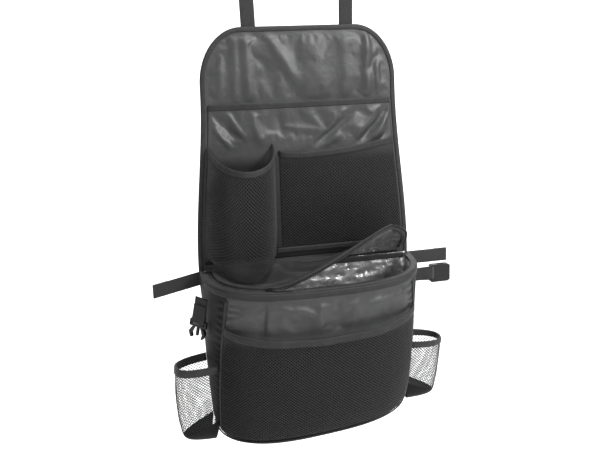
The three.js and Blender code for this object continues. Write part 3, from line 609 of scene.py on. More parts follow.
def folded(legs, low, high, thickness=1.2, puff=0.25, nose=None):
    """The outline of a tape folded over an edge: a round U, open towards negative sides.
    nose is how far its round end stands out beyond the edge."""
    middle, radius = (low + high) / 2, (high - low) / 2 + thickness
    outer = [
        (0.3 + (side - 0.3) * (nose or radius) / radius, layer)
        for side, layer in arc(0.3, middle, radius, -90, 90, 6)
    ]

    def leg(layer, swell):
        shares = (0.15, 0.5, 0.85, 1)
        return [(-legs * share, layer + swell * math.sin(math.pi * share)) for share in shares]

    below, above = leg(low - thickness, -puff)[::-1], leg(high + thickness, puff)
    inside = [(-legs, high), (0.3, high), (0.3, low), (-legs, low)]
    return below + outer + above + inside


def hem(name, surface, us, length, outline, look, covers, ripple, slot=None):
    """A folded tape over a sheet's mouth; length is the sheet's, from mouth to foot."""
    rings = []
    for u in us:
        ring = []
        wave = ripple * wrinkle((u * length, 0, 0), 9, 3.1)
        for side, layer in outline:
            layer += wave * (1 if layer > 0.5 else -0.4)
            if side > 0:
                mouth, below = surface(u, 0.0, layer), surface(u, 4 / length, layer)
                ring.append(mouth + (mouth - below).normalized() * side)
            else:
                ring.append(surface(u, -side / length, layer))
        rings.append(ring)
    return tube(name, rings, look, covers, slot=slot)


# %% [markdown]
# `cut` prints the flat size and area that a sheet of cloth would be cut to.
# That size could be typed in. It is measured instead, on the surface that the sheet was
# laid out on, so that it stays right when the surface changes.

# %% Sheets and their flat sizes
CUT_STEPS = 60


def cut(piece, surface, v_range=(0.0, 1.0), layer=0.5):
    rows = [[surface(u, v, layer) for u in steps(CUT_STEPS)] for v in steps(CUT_STEPS, *v_range)]
    width = max(measured(row)[-1] for row in rows)
    length = max(measured(column)[-1] for column in zip(*rows))
    area = 0.0
    for upper, lower in zip(rows, rows[1:]):
        for a, b, c, d in zip(upper, upper[1:], lower[1:], lower):
            area += (c - a).cross(d - b).length / 2
    area = min(area, width * length)
    print(f"sheet {piece.name}: {width:.0f} x {length:.0f} mm, {area / 100:.0f} cm2")


# %% [markdown]
# `relax` is a short cloth simulation. The free cloth of a piece is given a little more
# width than its frame, so that it buckles into the folds of real nylon. What is sewn down
# is held, no point moves further than a cap, and the result is kept as plain mesh. All
# folds could come from a simulation, but they would lie where they like. So the large
# ones are drawn where the photograph has them, and this adds the small ones between.

# %% Cloth simulation
SIMULATED_FRAMES = 20


def free_part(mesh, points, hold):
    """The faces with a free corner, as a mesh of its own, and their points' numbers."""
    count = len(points)
    faces = [tuple(face.vertices) for face in mesh.polygons]
    chosen = [f for f in faces if max(f) < count and min(hold[k] for k in f) < 1]
    kept = sorted({k for face in chosen for k in face})
    index = {k: n for n, k in enumerate(kept)}
    part = bpy.data.meshes.new("free_cloth")
    part.from_pydata([points[k] for k in kept], [], [[index[k] for k in f] for f in chosen])
    return part, kept


def relax(piece, free, grow, stiff, cap, inward, twin=False):
    """free gives, for each point of the piece's front skin, 1 where it is loose and 0 where
    it is sewn down. It moves out by the cap at most, and in by inward; a twin's back skin
    moves along."""
    skin = len(free)
    hold = [1 - clamp01(share) for share in free]
    points = [vertex.co.copy() for vertex in piece.data.vertices][:skin]
    normals = [vertex.normal.copy() for vertex in piece.data.vertices][:skin]
    part, kept = free_part(piece.data, points, hold)
    cover = bpy.data.objects.new("free_cloth", part)
    scene.collection.objects.link(cover)
    group = cover.vertex_groups.new(name="held")
    for n, k in enumerate(kept):
        group.add([n], hold[k], "REPLACE")
    cloth_modifier = cover.modifiers.new("cloth", "CLOTH")
    settings = cloth_modifier.settings
    settings.quality = 6
    settings.mass = 0.15
    settings.vertex_group_mass = "held"
    settings.shrink_min = -grow
    settings.tension_stiffness = settings.compression_stiffness = 20
    settings.shear_stiffness = 8
    settings.bending_stiffness = stiff
    settings.effector_weights.gravity = 0
    cloth_modifier.collision_settings.use_collision = False
    cloth_modifier.point_cache.frame_end = SIMULATED_FRAMES
    for number in range(SIMULATED_FRAMES):
        scene.frame_set(number + 1)
    graph = bpy.context.evaluated_depsgraph_get()
    result = cover.evaluated_get(graph).to_mesh()
    moves = [vertex.co - points[k] for vertex, k in zip(result.vertices, kept)]
    for k, move in zip(kept, moves):
        out = move.dot(normals[k])
        out = min(max(out, -inward * MM), cap * MM) * (1 - hold[k])
        for point in (k, k + skin) if twin else (k,):
            piece.data.vertices[point].co += normals[k] * out
    furthest = max(move.length for move in moves) / MM
    print(f"relax {piece.name}: {len(kept)} points, furthest {furthest:.1f} mm")
    scene.frame_set(1)
    bpy.data.objects.remove(cover)
    bpy.data.meshes.remove(part)


# %% [markdown]
# ## Nets, stitches and teeth
# What repeats is laid out as a plain skeleton of points and edges on the cloth's surface
# and drawn by Geometry Nodes: a thread along every edge of a net, a stitch or a tooth at
# every step along a seam. An Array modifier repeats too, but only along a straight line
# or one curve, and these follow whole surfaces. Each tree ends in a plain mesh.

# %% Geometry Nodes groups


def chain(group, *sockets):
    for source, target in sockets:
        group.links.new(source, target)


def new_group(name, sizes):
    """A group that starts by turning a skeleton into lines, and ends smooth and painted. The
    lines and the socket for the mesh that grows on them come with it."""
    group = bpy.data.node_groups.new(name, "GeometryNodeTree")
    group.interface.new_socket("Geometry", in_out="INPUT", socket_type="NodeSocketGeometry")
    for label, kind, value in [*sizes, ("Material", "NodeSocketMaterial", None)]:
        socket = group.interface.new_socket(label, in_out="INPUT", socket_type=kind)
        if value is not None:
            socket.default_value = value
    group.interface.new_socket("Geometry", in_out="OUTPUT", socket_type="NodeSocketGeometry")
    entry, leave = group.nodes.new("NodeGroupInput"), group.nodes.new("NodeGroupOutput")
    curve = group.nodes.new("GeometryNodeMeshToCurve")
    smooth = group.nodes.new("GeometryNodeSetShadeSmooth")
    paint = group.nodes.new("GeometryNodeSetMaterial")
    chain(
        group,
        (entry.outputs["Geometry"], curve.inputs["Mesh"]),
        (smooth.outputs["Geometry"], paint.inputs["Geometry"]),
        (entry.outputs["Material"], paint.inputs["Material"]),
        (paint.outputs["Geometry"], leave.inputs["Geometry"]),
    )
    return group, entry, curve.outputs["Curve"], smooth.inputs["Geometry"]


def threads_group():
    """Draws a thin tube along every edge."""
    sizes = [("Thread radius", "NodeSocketFloat", 0.00045), ("Sides", "NodeSocketInt", 3)]
    group, entry, lines, grown_mesh = new_group("threads", sizes)
    outline = group.nodes.new("GeometryNodeCurvePrimitiveCircle")
    tubes = group.nodes.new("GeometryNodeCurveToMesh")
    chain(
        group,
        (entry.outputs["Thread radius"], outline.inputs["Radius"]),
        (entry.outputs["Sides"], outline.inputs["Resolution"]),
        (lines, tubes.inputs["Curve"]),
        (outline.outputs["Curve"], tubes.inputs["Profile Curve"]),
        (tubes.outputs["Mesh"], grown_mesh),
    )
    return group


def beads_group(name, shape_kind, spacing, size):
    """Repeats one bead along a line, long side along it, every spacing."""
    sizes = [("Spacing", "NodeSocketFloat", spacing), ("Bead size", "NodeSocketVector", size)]
    group, entry, lines, grown_mesh = new_group(name, sizes)
    places = group.nodes.new("GeometryNodeCurveToPoints")
    places.mode = "LENGTH"
    bead = group.nodes.new(shape_kind)
    copies = group.nodes.new("GeometryNodeInstanceOnPoints")
    real = group.nodes.new("GeometryNodeRealizeInstances")
    if shape_kind == "GeometryNodeMeshIcoSphere":
        bead.inputs["Radius"].default_value = 0.5
        bead.inputs["Subdivisions"].default_value = 1
    chain(
        group,
        (lines, places.inputs["Curve"]),
        (entry.outputs["Spacing"], places.inputs["Length"]),
        (places.outputs["Points"], copies.inputs["Points"]),
        (places.outputs["Rotation"], copies.inputs["Rotation"]),
        (bead.outputs["Mesh"], copies.inputs["Instance"]),
        (entry.outputs["Bead size"], copies.inputs["Scale"]),
        (copies.outputs["Instances"], real.inputs["Geometry"]),
        (real.outputs["Geometry"], grown_mesh),
    )
    return group


threads = threads_group()
stitches = beads_group("stitches", "GeometryNodeMeshIcoSphere", 0.0034, (0.0007, 0.0006, 0.0028))
teeth = beads_group("teeth", "GeometryNodeMeshCube", 0.0021, (0.0034, 0.0016, 0.0011))


def grown(name, points, edges, group, look, covers=(), **inputs):
    """Runs a node group on a skeleton and keeps the result as a plain mesh."""
    bones = bpy.data.meshes.new(name + "_lines")
    bones.from_pydata([point * MM for point in points], edges, [])
    carrier = bpy.data.objects.new(name + "_lines", bones)
    scene.collection.objects.link(carrier)
    modifier = carrier.modifiers.new("grow", "NODES")
    modifier.node_group = group
    values = {"Material": look, **{key.replace("_", " "): value for key, value in inputs.items()}}
    for item in group.interface.items_tree:
        if item.item_type == "SOCKET" and item.in_out == "INPUT" and item.name in values:
            modifier[item.identifier] = values[item.name]
    carrier.update_tag()
    graph = bpy.context.evaluated_depsgraph_get()
    mesh = bpy.data.meshes.new_from_object(carrier.evaluated_get(graph))
    mesh.name = name
    bpy.data.objects.remove(carrier)
    bpy.data.meshes.remove(bones)
    return settle(bpy.data.objects.new(name, mesh), look, covers)


def line_edges(lines, closed=False):
    """All the lines' points in one list, and the edges that join each line's."""
    points, edges = [], []
    for line in lines:
        start = len(points)
        points += line
        edges += [(start + k, start + k + 1) for k in range(len(line) - 1)]
        if closed:
            edges.append((len(points) - 1, start))
    return points, edges


def stitched(name, lines, closed=False):
    grown(name, *line_edges(lines, closed), stitches, sewing_thread)


HEM_SEAMS, HEM_RISE = (1.6, 7.6), 0.95  # of the stitches, from the mouth and from the cloth


def mouth_stitches(name, surface, columns, length, sides=HEM_SEAMS, rise=HEM_RISE):
    """Rows of stitches on a hemmed mouth, at their distances from its edge."""
    layer = CLOTH + SEWN + rise
    stitched(name, [[surface(u, side / length, layer) for u in steps(columns)] for side in sides])


NET_CELL, NET_TALL = 6.2, 5.7  # width and height of one diamond of the net
NET_THREAD = 0.52  # radius of its thread


def net(name, surface, covers, v_range=(0.0, 1.0), layer=0.5):
    """A diamond net whose cells keep their size all over the surface."""
    us = even(lambda u: surface(u, lerp(*v_range, 0.4), layer), NET_CELL / 2)
    vs = even(lambda v: surface(0.2, v, layer), NET_TALL / 2, *v_range)
    index, points, edges = {}, [], []
    for j, v in enumerate(vs):
        for i, u in enumerate(us):
            if (i + j) % 2 == 0:
                index[i, j] = len(points)
                point = surface(u, v, layer)
                stray = Vector((wrinkle(point, 5, 1), wrinkle(point, 5, 2), wrinkle(point, 5, 4)))
                points.append(point + stray * 0.35)
    for (i, j), start in index.items():
        edges += [(start, index[n]) for n in ((i + 1, j + 1), (i - 1, j + 1)) if n in index]
    return grown(name, points, edges, threads, net_thread, covers, Thread_radius=NET_THREAD * MM)


# %% [markdown]
# ## The back panel
# One padded nylon panel, narrow at its top and widest at the cooler's rim. Only its top
# shows: there the straps and the weight of the pockets pull it into soft upright folds.
# They are laid where the photograph shows them, and a little noise breaks them up. A
# sculpted plane could look the same, but here the outline, the binding and the pockets
# all take their places from one function of the drop, `half_width`.

# %% Panel sizes and outline
HEIGHT, TOP_HALF, SHOULDER_HALF, SHOULDER_DROP = 726, 104, 182, 100
HIP_HALF, HIP_DROP, BASE_HALF, BASE_RADIUS = 205, 430, 188, 45
BINDING_WIDTH, PANEL_THICKNESS = 12, 2.4
UNDER_BINDING = 3.0  # from the outline to the panel's own raw edge
SEWN, OVER, CLOTH, BIND = 0.3, 0.6, 1.0, 1.2  # gaps under sewn and under loose layers


def half_width(drop, inset=0.0):
    """Half the panel's width at a drop, a way in from its outline."""
    foot = HEIGHT - BASE_RADIUS
    if drop < SHOULDER_DROP:
        rise = clamp01((SHOULDER_DROP - drop) / (SHOULDER_DROP - inset))
        return TOP_HALF + (SHOULDER_HALF - TOP_HALF - inset) * math.sqrt(1 - rise * rise)
    if drop < HIP_DROP:
        return lerp(SHOULDER_HALF, HIP_HALF, ease(drop, SHOULDER_DROP, HIP_DROP)) - inset
    side = lerp(HIP_HALF, BASE_HALF, ease(drop, HIP_DROP, foot))
    radius = BASE_RADIUS - inset
    fall = clamp01((drop - foot) / radius)
    return side - BASE_RADIUS + radius * math.sqrt(1 - fall * fall)


TOP_FOLDS = [
    # x and drop at both ends, height and width
    (-144, 60, -148, 126, 1.6, 7),
    (-118, 40, -121, 128, 1.6, 7),
    (-98, 6, -95, 126, 3.2, 9),
    (-62, 6, -14, 86, 2.8, 9),
    (20, 20, 42, 130, 2.6, 26),
    (84, 16, 87, 124, 2.6, 13),
    (127, 16, 128, 126, 3.4, 8),
    (146, 52, 148, 124, 2.2, 5),
    (160, 42, 130, 80, -2.6, 6),
]


def panel_drop(v):
    return lerp(UNDER_BINDING, HEIGHT - UNDER_BINDING, v)


def panel_point(u, v, layer):
    drop = panel_drop(v)
    half = half_width(drop, UNDER_BINDING)
    x = (2 * u - 1) * half
    front = clamp01(layer / PANEL_THICKNESS)
    inside = ease(min(half - abs(x), drop), 8, 26) * (1 - ease(drop, 116, 133))
    loose = ridges(x, drop, TOP_FOLDS) + 0.9 * wrinkle((x, drop, 0), 26, 2.0)
    behind = 0.5 + 0.5 * wrinkle((x, drop, 0), 30, 7.0)
    shift = front * inside * max(loose, -1.6) - (1 - front) * behind * 0.6
    return Vector((x, -layer - max(shift, -0.9) if front else min(-0.05, shift), -drop))


def panel_side(v):
    return Vector((half_width(panel_drop(v), UNDER_BINDING), 0, -panel_drop(v)))


panel_rows = even(panel_side, 3.4)
panel_columns = steps(120)
panel = cloth(
    "panel", panel_point, panel_columns, panel_rows, nylon, ["back_panel"], 0, PANEL_THICKNESS
)


def panel_free(u, v):
    place = panel_point(u, v, 0)
    edge = min(half_width(-place.z) - abs(place.x), -place.z)
    return ease(edge, 12, 20) * (1 - ease(-place.z, 118, 132))


panel_shares = [panel_free(u, v) for v in panel_rows for u in panel_columns]
relax(panel, panel_shares, grow=0.009, stiff=16, cap=2.5, inward=0.6)

# %% [markdown]
# The binding is a tape folded round the panel's edge. A bevelled curve could follow the
# edge, but it would be round like a cord. So the folded tape's own outline, a round U
# with two legs, is drawn along a path that runs once round the panel.

# %% Panel binding


def outline_path(inset):
    """Points round the panel's outline, from the middle of its foot up the right side."""
    foot = HEIGHT - BASE_RADIUS
    corner = half_width(foot) - BASE_RADIUS
    right = [(corner * share, -HEIGHT + inset) for share in steps(36)[:-1]]
    radius = BASE_RADIUS - inset
    for turn in steps(14, 0, math.pi / 2):
        right.append((corner + radius * math.sin(turn), -foot - radius * math.cos(turn)))
    for drop in steps(120, foot, SHOULDER_DROP)[1:-1]:
        right.append((half_width(drop) - inset, -drop))
    reach, rise = SHOULDER_HALF - TOP_HALF - inset, SHOULDER_DROP - inset
    for turn in steps(30, 0, math.pi / 2):
        right.append((TOP_HALF + reach * math.cos(turn), -SHOULDER_DROP + rise * math.sin(turn)))
    right += [(TOP_HALF * (1 - share), -inset) for share in steps(22)[1:]]
    left = [(-x, z) for x, z in right[::-1]]
    return [Vector((x, 0, z)) for x, z in right + left[1:-1]]


outer_path, inner_path = outline_path(0), outline_path(BINDING_WIDTH)


def bound_point(k, inwards, layer):
    """A point beside the outline, a way in from it and in front of the panel's back."""
    start, finish = outer_path[k], inner_path[k]
    return start.lerp(finish, inwards / BINDING_WIDTH) + Vector((0, -layer, 0))


BINDING_SHOWS = 8  # as wide as the tape looks in the photograph
edge_outline = folded(BINDING_SHOWS - 2.2, -SEWN, PANEL_THICKNESS + SEWN, BIND)
nose = max(side for side, _ in edge_outline)
edge_rings = []
for k, point in enumerate(outer_path):
    swell = 0.25 * wrinkle(point, 14, 5)
    narrow = 0.4 * wrinkle(point, 40, 6)
    edge_rings.append(
        [
            bound_point(k, nose - side - (narrow if side < -4 else 0), layer + swell * (layer > 1))
            for side, layer in edge_outline
        ]
    )
tube("panel_binding", edge_rings, tape, ["edge_binding"], closed=True)


def binding_seam(layer):
    return [bound_point(k, BINDING_SHOWS - 1.8, layer) for k in range(len(outer_path))]


stitched("panel_binding_stitches", [binding_seam(PANEL_THICKNESS + SEWN + BIND + 0.32)], closed=True)
stitched("panel_binding_back_stitches", [binding_seam(-SEWN - BIND - 0.32)], closed=True)

# %% [markdown]
# ## The document pocket
# A full-width sheet, sewn at its sides and foot under a hemmed mouth. Above the nets it
# is free, and the photograph shows slanting pulls there and small puckers under the hem.
# The pocket stands a little open, so its sheet bows out from the panel. Its hem is the
# same nylon folded over, so it wears the nylon's finish and not the tape's.

# %% Document pocket
DOC_MOUTH, DOC_FOOT, DOC_DEPTH = 135, 424, 8
DOC_LENGTH = DOC_FOOT - DOC_MOUTH
DOC_COLUMNS, DOC_ROWS = steps(150), steps(112)
DOC_FOLDS = [
    (170, 150, 112, 212, -5.0, 6.5),
    (168, 164, 134, 214, 4.4, 7),
    (173, 186, 152, 212, -3.4, 5),
    (148, 148, 108, 196, 2.4, 7),
    (97, 158, 18, 220, -4.2, 7),
    (78, 152, 52, 176, 2.6, 6),
    (66, 200, 34, 222, 2.8, 8),
    (-162, 148, -128, 190, -4.6, 7),
    (-160, 178, -134, 210, 3.0, 5.5),
    (-138, 148, -112, 190, 2.6, 5.5),
    (-32, 178, 17, 186, 0.9, 5),
    (-92, 154, -80, 204, 3.0, 8),
    (-46, 152, -40, 186, -2.0, 7),
]


def seam_half(drop):
    return half_width(drop) - BINDING_WIDTH - OVER


def document_offset(x, drop):
    """How far the pocket's back layer stands off the panel."""
    across = x / seam_half(drop)
    down = clamp01((drop - DOC_MOUTH) / DOC_LENGTH)
    slack = DOC_DEPTH * (1 - across**4) * (1 - down**2)
    fold = math.sin(x / 23 + drop / 30) * (1 - across**2) * (1 - ease(down, 0.05, 0.3))
    return BIND * (1 - ease(down, 0.04, 0.15)) + max(0.0, slack + 1.3 * fold)


def document_pulls(x, drop):
    """The free folds above the nets, on top of the pocket's plain shape."""
    edge = ease(seam_half(drop) - abs(x), 2, 16)
    below_tape = ease(drop, 145, 154) * (1 - ease(drop, 192, 224))
    pucker_at = x / 6.4 + 2.2 * wrinkle((x, 0, 0), 30, 4)
    pucker = 0.7 * math.sin(pucker_at) * bell(drop, 153, 9)
    under_nets = 0.5 * wrinkle((x, drop, 0), 34, 9) * ease(drop, 200, 230)
    pulls = ridges(x, drop, DOC_FOLDS) + 0.6 * wrinkle((x, drop, 0), 30, 5)
    return edge * (pulls * below_tape + pucker + under_nets)


def document_point(u, v, layer):
    drop = lerp(DOC_MOUTH, DOC_FOOT, v)
    x = (2 * u - 1) * seam_half(drop)
    stand = max(0.0, document_offset(x, drop) + document_pulls(x, drop))
    return Vector((x, -PANEL_THICKNESS - SEWN - stand - layer, -drop))


def on_document(x, drop, stand_off):
    stand = document_offset(x, drop) + CLOTH + OVER + stand_off
    return Vector((x, -PANEL_THICKNESS - SEWN - stand, -drop))


document = cloth(
    "document_sheet", document_point, DOC_COLUMNS, DOC_ROWS, nylon, ["document_pocket"]
)
thin_hem = folded(9, -SEWN, CLOTH + SEWN, 0.6, 0.2, 1.2)
document_tape = hem(
    "document_tape", document_point, DOC_COLUMNS, DOC_LENGTH, thin_hem, nylon,
    ["document_pocket_hem"], 0.3, "tape",
)
mouth_stitches("document_stitches", document_point, 150, DOC_LENGTH)
cut(document, document_point)


def document_free(u, v):
    place = document_point(u, v, 0)
    edge = seam_half(-place.z) - abs(place.x)
    return ease(edge, 3, 12) * ease(-place.z, 146, 157) * (1 - ease(-place.z, 192, 222))


document_shares = [document_free(u, v) for v in DOC_ROWS for u in DOC_COLUMNS]
relax(document, document_shares, grow=0.008, stiff=14, cap=2, inward=1, twin=True)
# Painted shade: below the nets' mouths the sheet is made darker, and duller too, where the nets shade
# it.
matt_and_shade_where(document, lambda place: 0.9 * ease(-place.z, 218, 250))
matt_and_shade_where(document_tape, lambda place: 0.6)

# %% [markdown]
# ## The net pockets on the panel
# The right one hangs nearly flat under a taped mouth that dips a little left of its
# middle. The left one is made full and round, with its elastic rim pulled down in front.
# A tape runs between them and another along the right one's foot. A net could be a sheet
# with a see-through pattern, but its threads would have no thickness and cast no shadow
# on the cloth behind, so every thread is drawn.

# %% A net with a hemmed mouth


def net_pocket(
    name, edge, surface, covers, columns, outline, ripple, length,
    seams=HEM_SEAMS, rise=HEM_RISE,
):
    """covers are the CAD's net and its hem, and edge is the hem's own name. length is the
    net's, from mouth to foot."""
    whole = net(name, surface, covers[:1])
    band = hem(
        f"{name}_{edge}", surface, steps(columns), length, outline, tape, covers[1:], ripple
    )
    mouth_stitches(f"{name}_stitches", surface, columns, length, seams, rise)
    cut(whole, surface)


# %% Flat net pocket
FLAT_LEFT, FLAT_RIGHT, FLAT_DIP, FLAT_FOOT, FLAT_DEPTH = 221, 209, 8, 404, 15
FLAT_LENGTH = 187  # of the net, from its mouth to its foot
DIVIDER_X, DIVIDER_WIDTH = -52, 10


def flat_net_point(u, v, layer):
    mouth = lerp(FLAT_LEFT, FLAT_RIGHT, u) + FLAT_DIP * math.sin(math.pi * clamp01(u) ** 0.58)
    drop = lerp(mouth, FLAT_FOOT, v)
    x = lerp(DIVIDER_X + DIVIDER_WIDTH / 2 + SEWN, seam_half(drop), u)
    slack = FLAT_DEPTH * math.sin(math.pi * clamp01(u)) ** 0.7 * (1 - clamp01(v) ** 3)
    soft = 0.8 * wrinkle((x, drop, 0), 40, 8) * math.sin(math.pi * clamp01(u))
    room = BIND * (1 - ease(v, 0.04, 0.2))
    return on_document(x, drop, room + max(0.0, slack + soft) + layer)


net_pocket(
    "flat_net", "tape", flat_net_point, ["flat_pocket_net", "flat_pocket_binding"],
    80, thin_hem, 0.3, FLAT_LENGTH,
)


def divider_point(u, v, layer):
    drop = lerp(FLAT_LEFT + 6, FLAT_FOOT, v)
    crown = 0.4 * math.sin(math.pi * u) * (layer > 0.5)
    return on_document(DIVIDER_X + (u - 0.5) * DIVIDER_WIDTH, drop, layer + crown)


def foot_tape_point(u, v, layer):
    drop = lerp(FLAT_FOOT + SEWN, FLAT_FOOT + SEWN + DIVIDER_WIDTH, v)
    left = DIVIDER_X - DIVIDER_WIDTH / 2
    crown = 0.4 * math.sin(math.pi * v) * (layer > 0.5)
    return on_document(lerp(left, seam_half(drop), u), drop, layer + crown)


cloth("divider_tape", divider_point, steps(6), steps(60), tape, ["net_divider_tape"])
cloth("foot_tape", foot_tape_point, steps(80), steps(6), tape, ["net_foot_tape"])
stitched(
    "divider_stitches",
    [[divider_point(side, v, 1.15) for v in steps(50)] for side in (0.15, 0.85)]
    + [[foot_tape_point(u, side, 1.15) for u in steps(80)] for side in (0.2, 0.8)],
)

# %% [markdown]
# The left pocket and the two side holders hang between two seams and bulge out between
# them. A cloth simulation needs something inside to fill them. They are drawn instead as
# a bow from seam to seam, whose reach and fall follow a smooth profile down the pouch.

# %% Pouches: nets that hang between two seams and bulge out between them


def pouch(left, right, outward, profile, squareness):
    """left and right are the seams; profile gives how far the middle stands out and hangs.
    All three take the share of the way down."""
    power = 1 / squareness

    def place(u, v):
        turn = math.pi * clamp01(u)
        cosine = math.cos(turn)
        across = -math.copysign(abs(cosine) ** power, cosine)
        bow = max(math.sin(turn), 0.0) ** power
        out, hang = profile(v)
        middle = left(v).lerp(right(v), (across + 1) / 2)
        return middle + outward * (out * bow) - Vector((0, 0, hang * bow))

    def surface(u, v, layer):
        u0, u1 = max(u - 0.01, 0), min(u + 0.01, 1)
        v0, v1 = (0.98, 1) if v > 0.99 else (v, v + 0.01)
        along = place(u1, v) - place(u0, v)
        down = place(u, v1) - place(u, v0)
        return place(u, v) + down.cross(along).normalized() * layer

    return surface


# %% Bottle net pocket
BOTTLE_MOUTH, BOTTLE_FOOT, BOTTLE_OUT, BOTTLE_SAG = 208, 419, 82, 38


def bottle_seam(v):
    return lerp(BOTTLE_MOUTH, BOTTLE_FOOT, v)


bottle_profile = [(BOTTLE_OUT - 3, BOTTLE_SAG)]
bottle_places = [(0, 292), (1, 338), (1, 384), (-4, 424), (-18, 448), (-46, 438)]  # out and drop
for k, (out, drop) in enumerate(bottle_places, 1):
    bottle_profile.append((BOTTLE_OUT + out, drop - bottle_seam(k / 7)))
bottle_profile.append((0, 0))
bottle_point = pouch(
    lambda v: on_document(-seam_half(bottle_seam(v)) + CLOTH, bottle_seam(v), 0),
    lambda v: on_document(DIVIDER_X - DIVIDER_WIDTH / 2 - SEWN - CLOTH, bottle_seam(v), 0),
    Vector((0, -1, 0)),
    spline(bottle_profile),
    1.0,
)
bottle_length = measured([bottle_point(0.5, v, 0) for v in steps(60)])[-1]
net_pocket(
    "bottle_net", "rim", bottle_point, ["bottle_pocket_net", "bottle_pocket_rim"],
    90, thin_hem, 0.5, bottle_length,
)

# %% [markdown]
# ## The cooler box
# A padded wall, D-shaped in plan, with a silver foil liner inside. The box could be an
# extruded D, scaled in at its foot. Its face was made one function of a share of the way
# round and down, because everything on the box is laid out on it and follows it:
# binding, seams, piping, pockets and liner.

# %% The box's face
RIM, BASE = 433, 708
TOP_BOX = (202, 148, 3.0)  # half width, depth and roundness of the plan at the rim
BASE_BOX = (187, 134, 2.7)
RIM_TILT, BASE_TILT = math.radians(7), math.radians(4)
BOX_BACK = -PANEL_THICKNESS - SEWN - BIND - SEWN
WALL, LINER = 4.0, 0.8
LINER_OUTER = WALL + SEWN
LINER_INNER = LINER_OUTER + LINER
SEAM_TOP, SEAM_BASE = 0.2, 0.11  # the corner seams, as shares of the way round
SWAY, SLANT = 7, 28  # the base hangs this far to the left, and lower at its left
SWELL, TUCK, TUCK_FROM = 4, 8, 0.93  # the wall swells at mid height and turns in at its foot


def box_face(turn, down, inset):
    """The wall's place at a turn from its left end to its right one, some way inside it."""
    top, base = TOP_BOX, BASE_BOX
    angle = math.pi * turn
    power = 2 / lerp(top[2], base[2], down)
    cosine = math.copysign(abs(math.cos(angle)) ** power, math.cos(angle))
    sine = max(math.sin(angle), 0.0) ** power
    tuck = TUCK * clamp01((down - TUCK_FROM) / 0.07) ** 2
    reach = SWELL * math.sin(math.pi * clamp01(down)) - tuck - inset
    half = lerp(top[0], base[0], down) + reach
    back_step = max(inset, 0.0)
    depth = lerp(top[1], base[1], down) + reach - back_step
    fold_band = ease(down, 0.1, 0.2) * (1 - ease(down, 0.22, 0.4))
    fold = 1.8 * math.sin(cosine * 15 + 0.7) * fold_band * sine**6
    y = BOX_BACK - back_step - sine * depth - fold
    tilt = math.tan(lerp(RIM_TILT, BASE_TILT, down))
    slant = SLANT * clamp01(down) * (1 + cosine) / 2
    z = -lerp(RIM, BASE, down) + (y - BOX_BACK) * tilt + back_step * clamp01(down) - slant
    return Vector((-cosine * half - SWAY * down, y, z))


turn_marks = steps(400)
turn_lengths = measured([Vector((*box_face(turn, 0.5, 0).xy, 0)) for turn in turn_marks])
ROUND = turn_lengths[-1]  # the way round the box


def on_box(share, down, inset=0.0):
    """The wall's place at a share of the length round it, which spaces points evenly."""
    turn = float(np.interp(clamp01(share) * ROUND, turn_lengths, turn_marks))
    return box_face(turn, down, inset)


def seam_share(down):
    return lerp(SEAM_TOP, SEAM_BASE, down)


def down_at(drop):
    return (drop - RIM) / (BASE - RIM)


# %% [markdown]
# The front of the wall is loose between the rim's tape and the net's mouth, and the seams
# at its corners gather it. The gathers are too small and even for a simulation, so they
# are a wave that fades away from the seam.

# %% The box's padded wall: its folds, and gathers beside the corner seams
BACK_STEPS = 24
FLOOR_SHARES = (0.85, 0.6, 0.3)  # rings of the floor, from its edge to its middle
BOX_FOLDS = [
    (-112, 452, -118, 524, -2.8, 7),
    (-99, 452, -106, 520, 2.6, 8),
    (-95, 468, -20, 492, 2.8, 10),
    (-10, 460, -17, 514, 2.0, 9),
    (16, 462, 20, 510, -1.4, 6),
    (54, 456, 42, 512, 2.4, 9),
    (-92, 500, -60, 522, 1.6, 7),
    (86, 456, 114, 512, 2.2, 9),
    (140, 452, 150, 508, 2.0, 8),
]


def box_swell(share, down):
    """How far the outer cloth stands out of the box's plain face."""
    point = on_box(share, down)
    seam = seam_share(down)
    beside = min(abs(share - seam), abs(share - 1 + seam)) * ROUND
    gather = 1.5 * math.sin(point.z / 2.1 + 2.5 * wrinkle(point, 30, 3)) * bell(beside, 11, 8)
    front = ease(beside, 6, 20) if seam < share < 1 - seam else 0.0
    covered = ease(-point.z, 524, 545)  # by the front net
    folds = front * ridges(point.x, -point.z, BOX_FOLDS) * (1 - covered)
    soft = 1.3 * (1 - 0.6 * covered) * wrinkle((share * ROUND, -point.z, 0), 36, 11)
    held = ease(down, 0.045, 0.1) * (1 - ease(down, 0.9, 0.96)) * ease(beside, 2.5, 6)
    ends = ease(share, 0.004, 0.03) * (1 - ease(share, 0.97, 0.996))
    return max(-1.5, (folds + soft + gather) * held * ends)


def loops(surface, shares, downs):
    """Closed rings: round the front by shares and straight back along the panel."""
    rings = []
    for down in downs:
        front = [surface(share, down) for share in shares]
        back = [front[-1].lerp(front[0], share) for share in steps(BACK_STEPS)[1:-1]]
        rings.append(front + back)
    return rings


def floored(skin):
    """The rings of a skin, and its floor's after them."""
    middle = sum(skin[-1], Vector()) / len(skin[-1])
    floor = [[middle.lerp(point, share) for point in skin[-1]] for share in FLOOR_SHARES]
    return skin + floor


def vessel(name, outer, inner, look, covers):
    """A box without a top: two skins of rings, joined along the rim, each with a floor."""
    size = len(outer[0])
    stack = floored(outer)[::-1] + floored(inner)
    points = [point for ring in stack for point in ring]
    around = measured(outer[0])
    flat = [
        (around[i], depth)
        for depth in measured([ring[size // 4] for ring in stack])
        for i in range(size)
    ]
    faces = grid_faces(len(stack), size, closed=True)
    faces += [list(range(size)), [len(points) - 1 - i for i in range(size)]]
    return make(name, points, faces, look, covers, flat)


